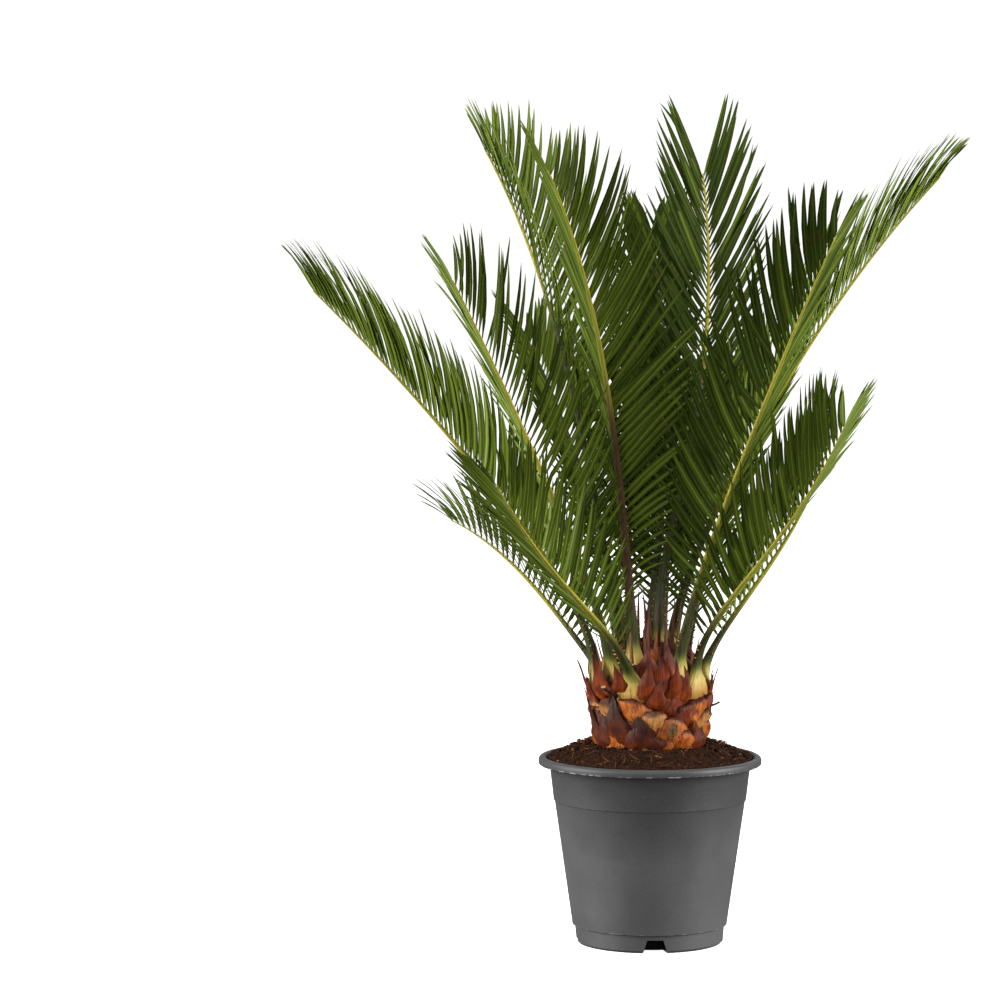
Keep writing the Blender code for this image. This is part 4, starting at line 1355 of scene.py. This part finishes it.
def core_body():
    """The trunk's profile a little inside the CAD surface, spun, with upright fibres in relief."""
    rings = []
    for ring in range(CORE_RINGS + 1):
        angle = math.pi / 2.0 * min(ring / (DOME_SHARE * CORE_RINGS), 1.0)
        if ring < DOME_SHARE * CORE_RINGS:
            height = blend(TRUNK_TOP, TRUNK_WIDEST_HEIGHT, 1.0 - math.cos(angle))
        else:
            share = (ring / CORE_RINGS - DOME_SHARE) / (1.0 - DOME_SHARE)
            height = blend(TRUNK_WIDEST_HEIGHT, TRUNK_FOOT, share)
        radius = max(trunk_radius(height) - CORE_INSET, 0.0) if ring else 0.0
        rings.append((radius, height - (CORE_INSET if ring < 2 else 0.0)))
    bm = spin_profile(rings + [(0.0, TRUNK_FOOT)], CORE_STEPS)
    for vert in bm.verts:
        reach = math.hypot(vert.co.x, vert.co.y)
        if vert.co.z < TRUNK_FOOT + 0.0005 or reach < 0.001:
            continue
        fibre = noise.noise(Vector((vert.co.x / CORE_FIBRE_WIDTH, vert.co.y / CORE_FIBRE_WIDTH,
                                    vert.co.z / CORE_FIBRE_LENGTH)))
        swell = 1.0 + CORE_RELIEF * fibre / reach
        vert.co.x *= swell
        vert.co.y *= swell
    return bm


# %% The wrappings' finishes
def core_fibre():
    made = Finish("trunk_fibre", 0.8, 0.3)
    streaks = made.fibre(700.0, 70.0, 0.35, 0.65, made.place())
    made.colour = made.mix(streaks, (44, 22, 14), (96, 52, 28))
    made.coat((64, 30, 18), made.mottle(150.0, 0.4, 0.65), 0.5)
    return made.done((streaks, 0.0006))


def leaf_base_finish(name, middle, pale, edge, scarred=False):
    """Glossy tan with upright fibres and a red-brown rim that ends in painted shade at its edge,
    and a fibrous grey scar on some.
    """
    made = Finish(name, 0.36, 0.28)
    across, up = made.straight("X"), made.straight("Z")
    reach = made.math("ADD", *(made.math("MULTIPLY", value, value) for value in (across, up)))
    streaks = made.fibre(7.0, 1.1, 0.32, 0.68)
    fine = made.fibre(22.0, 1.6, 0.35, 0.65)
    made.colour = made.mix(streaks, middle, pale)
    made.coat(edge, fine, 0.45)
    made.coat((112, 44, 22), made.mottle(130.0, 0.5, 0.66), 0.9)
    made.coat(edge, made.between(reach, 0.30, 0.95, 0.0, 0.9))
    # Painted shade: near black at the very edge, where the base sinks among its neighbours.
    made.coat((44, 18, 10), made.between(reach, 0.75, 1.05))
    made.coat((66, 26, 12), made.between(up, 0.30, 0.60, 0.0, 0.9))
    if scarred:
        ends = made.mix(made.mottle(1100.0, 0.4, 0.6), (84, 58, 38), (150, 120, 82))
        made.coat(ends, made.between(reach, 0.05, 0.16, 0.9, 0.0))
    return made.done((streaks, 0.0005), (fine, 0.00025), rough=(streaks, 0.3, 0.5))


def scale_finish(name, middle, edge, tip):
    """Thin dry skin: a bright foot, darker edges and tip, fine streaks and blotches."""
    made = Finish(name, 0.42, 0.2)
    across, along = made.straight("X"), made.straight("Z")
    streaks = made.fibre(5.0, 0.8, 0.3, 0.7)
    fine = made.fibre(22.0, 1.2, 0.35, 0.65)
    made.colour = made.mix(made.between(along, 0.08, 0.55, 0.9, 0.0), middle, edge)
    made.coat(edge, streaks, 0.4)
    made.coat(tip, made.mottle(150.0, 0.42, 0.62), 0.75)
    made.coat((44, 20, 12), fine, 0.3)
    made.coat(tip, made.between(made.math("MULTIPLY", across, across), 0.12, 0.7, 0.0, 0.8))
    made.coat(tip, made.between(along, 0.5, 0.95))
    return made.done((streaks, 0.00025), (fine, 0.0001), rough=(fine, 0.34, 0.58))


# %% The wrappings' masters
BASE_ROUNDING = 1.4
SCALE_COLUMNS = 6
SCALE_ROWS = 14


def leaf_base_master():
    """A ball pressed into a rounded rhombus; it faces the front, as if at turn zero."""
    bm = bmesh.new()
    bmesh.ops.create_icosphere(bm, subdivisions=3, radius=1.0)
    for vert in bm.verts:
        flat = math.hypot(vert.co.x, vert.co.z)
        if flat > 1e-6:
            corner = (abs(vert.co.x) / flat) ** BASE_ROUNDING + (abs(vert.co.z) / flat) ** BASE_ROUNDING
            vert.co.x *= corner ** (-1.0 / BASE_ROUNDING)
            vert.co.z *= corner ** (-1.0 / BASE_ROUNDING)
    return marked_master(bm, flat=True)


def scale_master():
    """A grid stood upright, drawn in towards its tip and given a thickness of one."""
    bm = bmesh.new()
    bmesh.ops.create_grid(bm, x_segments=SCALE_COLUMNS, y_segments=SCALE_ROWS, size=1.0)
    for vert in bm.verts:
        along = (vert.co.y + 1.0) / 2.0
        vert.co.y = along
        vert.co.x *= min(1.0, 0.6 + 3.0 * along) * (1.0 + 0.35 * along) * (1.0 - along) ** 0.95 + 0.015
    bmesh.ops.solidify(bm, geom=bm.faces, thickness=1.0)
    upright = Matrix.Rotation(math.pi / 2.0, 3, "X")
    bmesh.ops.rotate(bm, verts=bm.verts, cent=(0.0, 0.0, 0.0), matrix=upright)
    bmesh.ops.recalc_face_normals(bm, faces=bm.faces)
    return marked_master(bm, flat=True)


def laid_on(spot, across, outward, up):
    """Places on the trunk from numbers across, outward and up, wrapped round its curve."""
    wrapped = outward - across ** 2 / (2.0 * spot.radius)
    return (np.array(spot.place) + np.outer(across, spot.side) + np.outer(wrapped, spot.outward)
            + np.outer(up, spot.up))


# %% Lay the cut leaf bases
LeafBase = namedtuple("LeafBase", "turn height width tall bulge finish")
BASE_TAN, BASE_ORANGE, BASE_SCARRED, BASE_DARK = range(4)
FRONT_BASES = [LeafBase(*row) for row in (
    (-46, 0.158, 0.017, 0.026, 0.0070, BASE_TAN),
    (-16, 0.160, 0.024, 0.024, 0.0080, BASE_ORANGE),
    (3, 0.153, 0.025, 0.023, 0.0084, BASE_TAN),
    (21, 0.1485, 0.030, 0.023, 0.0094, BASE_SCARRED),
    (38, 0.1390, 0.033, 0.024, 0.0088, BASE_ORANGE),
    (54, 0.160, 0.024, 0.023, 0.0074, BASE_ORANGE),
    (68, 0.151, 0.023, 0.024, 0.0066, BASE_TAN),
    (66, 0.138, 0.024, 0.017, 0.0056, BASE_DARK),
    (-36, 0.139, 0.034, 0.024, 0.0072, BASE_ORANGE),
    (-62, 0.150, 0.024, 0.026, 0.0058, BASE_DARK),
    (-8, 0.137, 0.028, 0.018, 0.0064, BASE_DARK),
    (14, 0.136, 0.024, 0.016, 0.0064, BASE_ORANGE),
    (-22, 0.149, 0.022, 0.020, 0.0058, BASE_DARK),
    (20, 0.164, 0.024, 0.018, 0.0058, BASE_DARK),
    (37, 0.157, 0.022, 0.020, 0.0060, BASE_DARK),
    (-76, 0.159, 0.020, 0.020, 0.0054, BASE_TAN),
)]
BASE_SUNK = 0.0034
BASE_CUT_RISE = 0.28
BASE_CUT_SHARE = 0.36
BASE_GRAIN = 120.0
BASE_UNEVEN = 0.0022
BASE_RAGGED = 0.0040
BASE_FINE_GRAIN = 380.0
BASE_FINE = 0.0007
GOLDEN_TURN = 137.508
SPIRAL_BASES = 46
SPIRAL_FOOT = 0.1365
SPIRAL_RISE = 0.036
FRONT_TURN = 72.0
TRUNK_SEED = 23


def leaf_base(master, base, rng):
    """One base: bulging, higher at its top edge, where it was cut off flat, and uneven."""
    across = master.places[:, 0] * base.width / 2.0
    up = master.places[:, 2] * base.tall / 2.0
    outward = -master.places[:, 1] * base.bulge - BASE_SUNK + np.maximum(up, 0.0) * BASE_CUT_RISE
    swell, slip, rise = (noise_at(across * BASE_GRAIN, base.turn + turn, up * BASE_GRAIN)
                         for turn in (0.0, 9.0, 17.0))
    fine = noise_at(across * BASE_FINE_GRAIN, base.turn, up * BASE_FINE_GRAIN)
    outward = outward + swell * BASE_UNEVEN + fine * BASE_FINE
    across = across + slip * BASE_RAGGED
    up = np.minimum(up + rise * BASE_RAGGED, base.tall * BASE_CUT_SHARE + slip * BASE_RAGGED / 2.0)
    lean = rng.uniform(-0.4, 0.4)
    places = laid_on(trunk_spot(base.turn, base.height), across + up * lean, outward, up)
    return copy_of(master, places, base.finish, rng.uniform(0.0, 90.0))


def spiral(count, start, low, high):
    """Turns and heights of a spiral up the trunk, each turned on by the golden angle."""
    return [((index * GOLDEN_TURN + start) % 360.0 - 180.0, low + (high - low) * index / count)
            for index in range(count)]


def spiral_bases(rng):
    """Bases on the sides and back, where the photograph doesn't show them."""
    return [LeafBase(turn + rng.uniform(-4.0, 4.0), height, rng.uniform(0.018, 0.025),
                     rng.uniform(0.017, 0.021), rng.uniform(0.0052, 0.0072),
                     rng.choices((BASE_TAN, BASE_ORANGE, BASE_SCARRED, BASE_DARK), (3, 3, 2, 2))[0])
            for turn, height in spiral(SPIRAL_BASES, 180.0, SPIRAL_FOOT, SPIRAL_FOOT + SPIRAL_RISE)
            if abs(turn) >= FRONT_TURN]


trunk_rng = random.Random(TRUNK_SEED)
add_piece("trunk_core", core_body(), [core_fibre()], ["trunk"])
base_finishes = [
    leaf_base_finish("leaf_base_tan", (190, 122, 56), (216, 162, 86), (134, 60, 24)),
    leaf_base_finish("leaf_base_orange", (182, 88, 28), (210, 128, 48), (122, 40, 14)),
    leaf_base_finish("leaf_base_scarred", (180, 92, 32), (210, 134, 58), (112, 42, 18), scarred=True),
    leaf_base_finish("leaf_base_dark", (104, 42, 18), (146, 66, 28), (62, 24, 12)),
]
base_shape = leaf_base_master()
bases = [leaf_base(base_shape, base, trunk_rng) for base in (*FRONT_BASES, *spiral_bases(trunk_rng))]
add_piece("trunk_leaf_bases", bases, base_finishes, ["trunk"])
print(f"{len(bases)} leaf bases")

# %% Lay the papery scales
PaperScale = namedtuple("PaperScale", "turn foot width tall lean swell finish")
SCALE_PURPLE, SCALE_RED, SCALE_ORANGE = range(3)
FRONT_SCALES = [PaperScale(*row) for row in (
    (-31, 0.134, 0.030, 0.040, 0.04, 0.0062, SCALE_PURPLE),
    (-48, 0.131, 0.026, 0.030, 0.06, 0.0040, SCALE_PURPLE),
    (-5, 0.130, 0.038, 0.028, 0.10, 0.0058, SCALE_PURPLE),
    (-64, 0.133, 0.028, 0.034, 0.14, 0.0030, SCALE_PURPLE),
    (-76, 0.158, 0.024, 0.034, 0.30, 0.0020, SCALE_RED),
    (-62, 0.164, 0.020, 0.036, 0.10, 0.0030, SCALE_RED),
    (-50, 0.168, 0.017, 0.030, 0.12, 0.0026, SCALE_RED),
    (-30, 0.170, 0.016, 0.022, 0.10, 0.0016, SCALE_RED),
    (-3, 0.1640, 0.022, 0.032, 0.02, 0.0036, SCALE_RED),
    (6, 0.1600, 0.018, 0.026, 0.04, 0.0040, SCALE_RED),
    (13, 0.169, 0.020, 0.032, 0.04, 0.0026, SCALE_RED),
    (25, 0.1630, 0.022, 0.034, 0.04, 0.0038, SCALE_RED),
    (36, 0.1650, 0.016, 0.026, 0.04, 0.0030, SCALE_RED),
    (20, 0.177, 0.018, 0.028, 0.04, 0.0016, SCALE_RED),
    (-2, 0.178, 0.020, 0.028, 0.02, 0.0016, SCALE_RED),
    (8, 0.184, 0.016, 0.022, 0.02, 0.0012, SCALE_ORANGE),
    (48, 0.130, 0.020, 0.024, 0.10, 0.0060, SCALE_RED),
    (78, 0.160, 0.014, 0.026, 0.16, 0.0016, SCALE_RED),
    (56, 0.131, 0.018, 0.018, 0.10, 0.0030, SCALE_PURPLE),
)]
SCALE_THICKNESS = 0.00045
SCALE_TUCK = 0.0045
SCALE_RAGGED = 0.45
SCALE_WAVE = 0.0016
OUTER_SUNK = -0.0004
# count, lowest and highest foot, widths, heights, leans, from where on the front, sunk by
SCALE_RINGS = (
    (120, 0.131, 0.176, (0.010, 0.016), (0.012, 0.019), (0.02, 0.08), 0.166, 0.0016),
    (44, 0.133, 0.172, (0.016, 0.024), (0.020, 0.032), (0.05, 0.25), 1.0, OUTER_SUNK),
    (40, 0.176, 0.1985, (0.009, 0.014), (0.012, 0.024), (0.0, 0.2), 0.0, 0.0008),
)


def paper_scale(master, scale, sunk, rng):
    """One scale: it bulges over what lies below, its tip leans out, its outline is ragged."""
    along = master.places[:, 2]
    reach = master.straights[:, 0]
    seed = rng.uniform(0.0, 90.0)
    ragged = noise_at(seed, along * 5.0, np.sign(reach) * 3.0)
    pointed = (1.0 - along) ** rng.uniform(0.0, 0.7)
    across = reach * (1.0 + SCALE_RAGGED * ragged) * pointed * scale.width / 2.0
    wave = noise_at(reach * 1.4 + seed, along * 2.6, 0.0)
    arched = np.sin(np.pi * np.minimum(along * 0.8 + 0.15, 1.0))
    crown = arched * (1.0 - np.minimum(np.abs(reach), 1.0) ** 2)
    outward = (-master.places[:, 1] * SCALE_THICKNESS - sunk + scale.lean * along ** 2 * scale.tall
               + SCALE_WAVE * wave + scale.swell * crown - SCALE_TUCK * (1.0 - along) ** 10)
    across = across + rng.uniform(-0.2, 0.2) * along ** 2 * scale.tall
    places = laid_on(trunk_spot(scale.turn, scale.foot), across, outward, along * scale.tall)
    return copy_of(master, places, scale.finish, seed)


def scale_ring(count, low, high, wide, tall, lean, front_from, rng):
    """Scales along the spiral between two heights; on the front they start only higher up."""
    return [PaperScale(turn + rng.uniform(-6.0, 6.0), foot, rng.uniform(*wide), rng.uniform(*tall),
                       rng.uniform(*lean), rng.uniform(0.001, 0.003),
                       rng.choices((SCALE_PURPLE, SCALE_RED, SCALE_ORANGE), (3, 4, 2))[0])
            for turn, foot in spiral(count, 60.0, low, high)
            if abs(turn) >= FRONT_TURN or foot >= front_from]


def stalk_trees(low):
    """The fronds' stalks from a height up, which no scale or awl may run through."""
    return [BVHTree.FromBMesh(rib_bar(frond, np.linspace(low, 0.110, 14))) for frond in FRONDS]


high_stalks, whole_stalks = stalk_trees(0.010), stalk_trees(0.001)
scale_finishes = [
    scale_finish("paper_scale_purple", (66, 34, 28), (140, 62, 22), (46, 22, 16)),
    scale_finish("paper_scale_red", (112, 36, 12), (176, 80, 22), (66, 22, 10)),
    scale_finish("paper_scale_orange", (180, 86, 28), (208, 124, 46), (104, 38, 14)),
]
scale_shape = scale_master()
rings = [(scale_ring(*ring[:-1], trunk_rng), ring[-1]) for ring in SCALE_RINGS]
scales = [paper_scale(scale_shape, scale, sunk, trunk_rng) for ring, sunk in rings for scale in ring]
scales = [copy for copy in scales if clear_of(copy, whole_stalks)]
front = [paper_scale(scale_shape, scale, OUTER_SUNK, trunk_rng) for scale in FRONT_SCALES]
scales += [copy for copy in front if clear_of(copy, high_stalks)]
add_piece("trunk_scales", scales, scale_finishes, ["trunk"], 50.0)
print(f"{len(scales)} papery scales")

# %% [markdown]
# ## Awls, stubs and thorns
#
# Between the stalks stand brown awls: stiff leaves that never opened. A few stubs are left of
# fronds that broke off. The stalks carry short yellow thorns on both edges up to the first
# leaflet. All of these are bars again, drawn to a point or cut off flat.

# %% Awls and stubs
AWL_SIDES = 6
AWL_STATIONS = 7
Awl = namedtuple("Awl", "turn height length width lean bend")
FRONT_AWLS = [Awl(*row) for row in (
    (-4, 0.186, 0.041, 0.0042, 4, 5), (18, 0.184, 0.046, 0.0036, 2, 2),
    (34, 0.182, 0.040, 0.0030, 5, -6), (-22, 0.186, 0.034, 0.0034, 3, -5),
    (-84, 0.176, 0.024, 0.0026, 34, -8), (-66, 0.182, 0.026, 0.0026, 16, -10),
    (-92, 0.168, 0.016, 0.0022, 46, -8), (60, 0.180, 0.030, 0.0030, 8, 8),
)]
CROWN_AWLS = 44
STUB_SIDES = 8
STUB_STATIONS = 4
STUBS = [Awl(*row, 0.0) for row in (
    (-38, 0.1690, 0.0170, 0.0050, 72), (80, 0.1595, 0.0130, 0.0028, 84), (64, 0.1670, 0.0120, 0.0036, 80),
    (128, 0.1660, 0.0110, 0.0046, 62), (-140, 0.1580, 0.0090, 0.0042, 70),
    (-112, 0.1690, 0.0130, 0.0038, 66),
)]
SPIKE_SUNK = 0.003


def spike(awl, sides, stations, pointed):
    """A bar that leaves the trunk at a lean from upright, bends sideways and tapers."""
    spot = trunk_spot(awl.turn, awl.height)
    level = (spot.place * Vector((1.0, 1.0, 0.0))).normalized()
    place = spot.place - spot.outward * SPIKE_SUNK
    sections, marks = [], []
    for station in range(stations + 1):
        share = station / stations
        tipped = math.radians(awl.lean) * (1.0 - 0.35 * share)
        way = (level * math.sin(tipped) + Vector((0.0, 0.0, math.cos(tipped)))
               + spot.side * math.sin(math.radians(awl.bend) * share)).normalized()
        across = way.cross(level if abs(way.dot(level)) < 0.8 else Vector((0.0, 0.0, 1.0))).normalized()
        through = across.cross(way)
        half = awl.width / 2.0 * ((1.0 - share) ** 0.7 + 0.03 if pointed else 1.0 - 0.2 * share)
        turns = [math.tau * index / sides for index in range(sides)]
        sections.append([place + (across * math.cos(turn) * half + through * math.sin(turn) * half * 0.6)
                         for turn in turns])
        marks.append([(math.cos(turn) * half, math.sin(turn) * half, share * awl.length) for turn in turns])
        place = place + way * awl.length / stations
    if pointed:
        return bar(sections, marks, place, (0.0, 0.0, awl.length * (1.0 + 1.0 / stations)))
    return bar(sections, marks)


def fibrous_finish(name, dark, pale, across, roughness):
    made = Finish(name, roughness, 0.4)
    streaks = made.fibre(across, 60.0, 0.3, 0.7)
    made.colour = made.mix(streaks, dark, pale)
    made.coat(dark, made.mottle(160.0, 0.4, 0.7), 0.5)
    return made.done((streaks, 0.0003))


def crown_awl(index, rng):
    """One of the awls round the growing point, shorter and lower towards its edge."""
    share = (index + 0.5) / CROWN_AWLS
    return Awl((index * GOLDEN_TURN) % 360.0, blend(0.2025, 0.184, share ** 1.4),
               rng.uniform(0.020, 0.046) * blend(1.0, 0.7, share), rng.uniform(0.0022, 0.0040),
               blend(2.0, 20.0, share), rng.uniform(-12.0, 12.0))


awls = []
for awl in (*FRONT_AWLS, *[crown_awl(index, trunk_rng) for index in range(CROWN_AWLS)]):
    copy = read_master(spike(awl, AWL_SIDES, AWL_STATIONS, True))
    if clear_of(copy, whole_stalks):
        awls.append(copy._replace(slots=np.full(len(copy.faces), trunk_rng.choice((0, 0, 1)))))
add_piece("trunk_awls", awls,
          [fibrous_finish("awl_brown", (70, 32, 20), (128, 70, 38), 2600.0, 0.6),
           fibrous_finish("awl_tan", (112, 62, 34), (160, 100, 56), 2600.0, 0.6)],
          ["trunk"])


def stub_copy(stub):
    """A stub whose flat cut end takes the second finish."""
    return read_master(spike(stub, STUB_SIDES, STUB_STATIONS, False),
                       lambda middle: int(middle[2] > 0.999 * stub.length))


add_piece("trunk_stubs", [stub_copy(stub) for stub in STUBS],
          [fibrous_finish("stub_brown", (52, 28, 20), (96, 56, 34), 1800.0, 0.7),
           fibrous_finish("stub_cut", (150, 120, 84), (196, 168, 124), 1800.0, 0.8)],
          ["trunk"], 40.0)
print(f"{len(awls)} awls, {len(STUBS)} stubs")

# %% Thorns on the stalks
THORN_FROM = 0.013
THORN_STEP = 0.0046
THORN_LENGTH = 0.0026
THORN_RADIUS = 0.00062
THORN_SIDES = 5


def thorn_master():
    """A cone of five sides, its foot at the origin and its tip one unit up."""
    bm = bmesh.new()
    bmesh.ops.create_cone(bm, cap_ends=True, segments=THORN_SIDES, radius1=1.0, radius2=0.0, depth=1.0)
    bmesh.ops.translate(bm, verts=bm.verts, vec=(0.0, 0.0, 0.5))
    return marked_master(bm)


def thorn(frond, distance, sign, master, rng):
    """One thorn on an edge of a stalk, pointing outwards and a little up."""
    point = rib_point(frond, distance / frond.length)
    way = (point.side * sign + point.along * rng.uniform(0.1, 0.5)
           + point.upper * rng.uniform(0.0, 0.4)).normalized()
    turn = np.array(way.to_track_quat("Z", "Y").to_matrix())
    size = np.array([THORN_RADIUS, THORN_RADIUS * 1.3, THORN_LENGTH * rng.uniform(0.7, 1.25)])
    foot = point.place + point.side * sign * point.width * 0.46
    return copy_of(master, (master.places * size) @ turn.T + np.array(foot))


def thorns_of(frond, master, rng):
    """Thorns every few millimetres on both edges of a stalk, up to its first leaflets."""
    count = int(((STALK_SHARE + 0.01) * frond.length - THORN_FROM) / THORN_STEP)
    return [thorn(frond, THORN_FROM + THORN_STEP * (index + rng.uniform(0.2, 0.8)), sign, master, rng)
            for index in range(count) for sign in (1.0, -1.0)]


def thorn_finish():
    made = Finish("thorn", 0.45)
    height = made.straight("Z")
    made.colour = made.mix(made.between(height, 0.1, 0.7), (124, 124, 46), (196, 150, 62))
    made.coat((110, 62, 28), made.between(height, 0.75, 1.0))
    return made.done()


thorn_rng = random.Random(TRUNK_SEED + 1)
thorn_shape = thorn_master()
thorns = [copy for frond in FRONDS for copy in thorns_of(frond, thorn_shape, thorn_rng)]
add_piece("thorns", thorns, [thorn_finish()], [])
print(f"{len(thorns)} thorns")

# %% [markdown]
# ## The finished plant
#
# The box that the dressed plant fills is written beside that of the CAD model, so that the two
# can be compared after each change.

# %% Measure and finish
sizes = {"cad": [list(corner) for corner in CAD_BOX], "dressed": [list(corner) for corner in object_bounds()]}
for name, (low, high) in sizes.items():
    print(name, [round((b - a) * 1000.0, 1) for a, b in zip(low, high)], "mm")
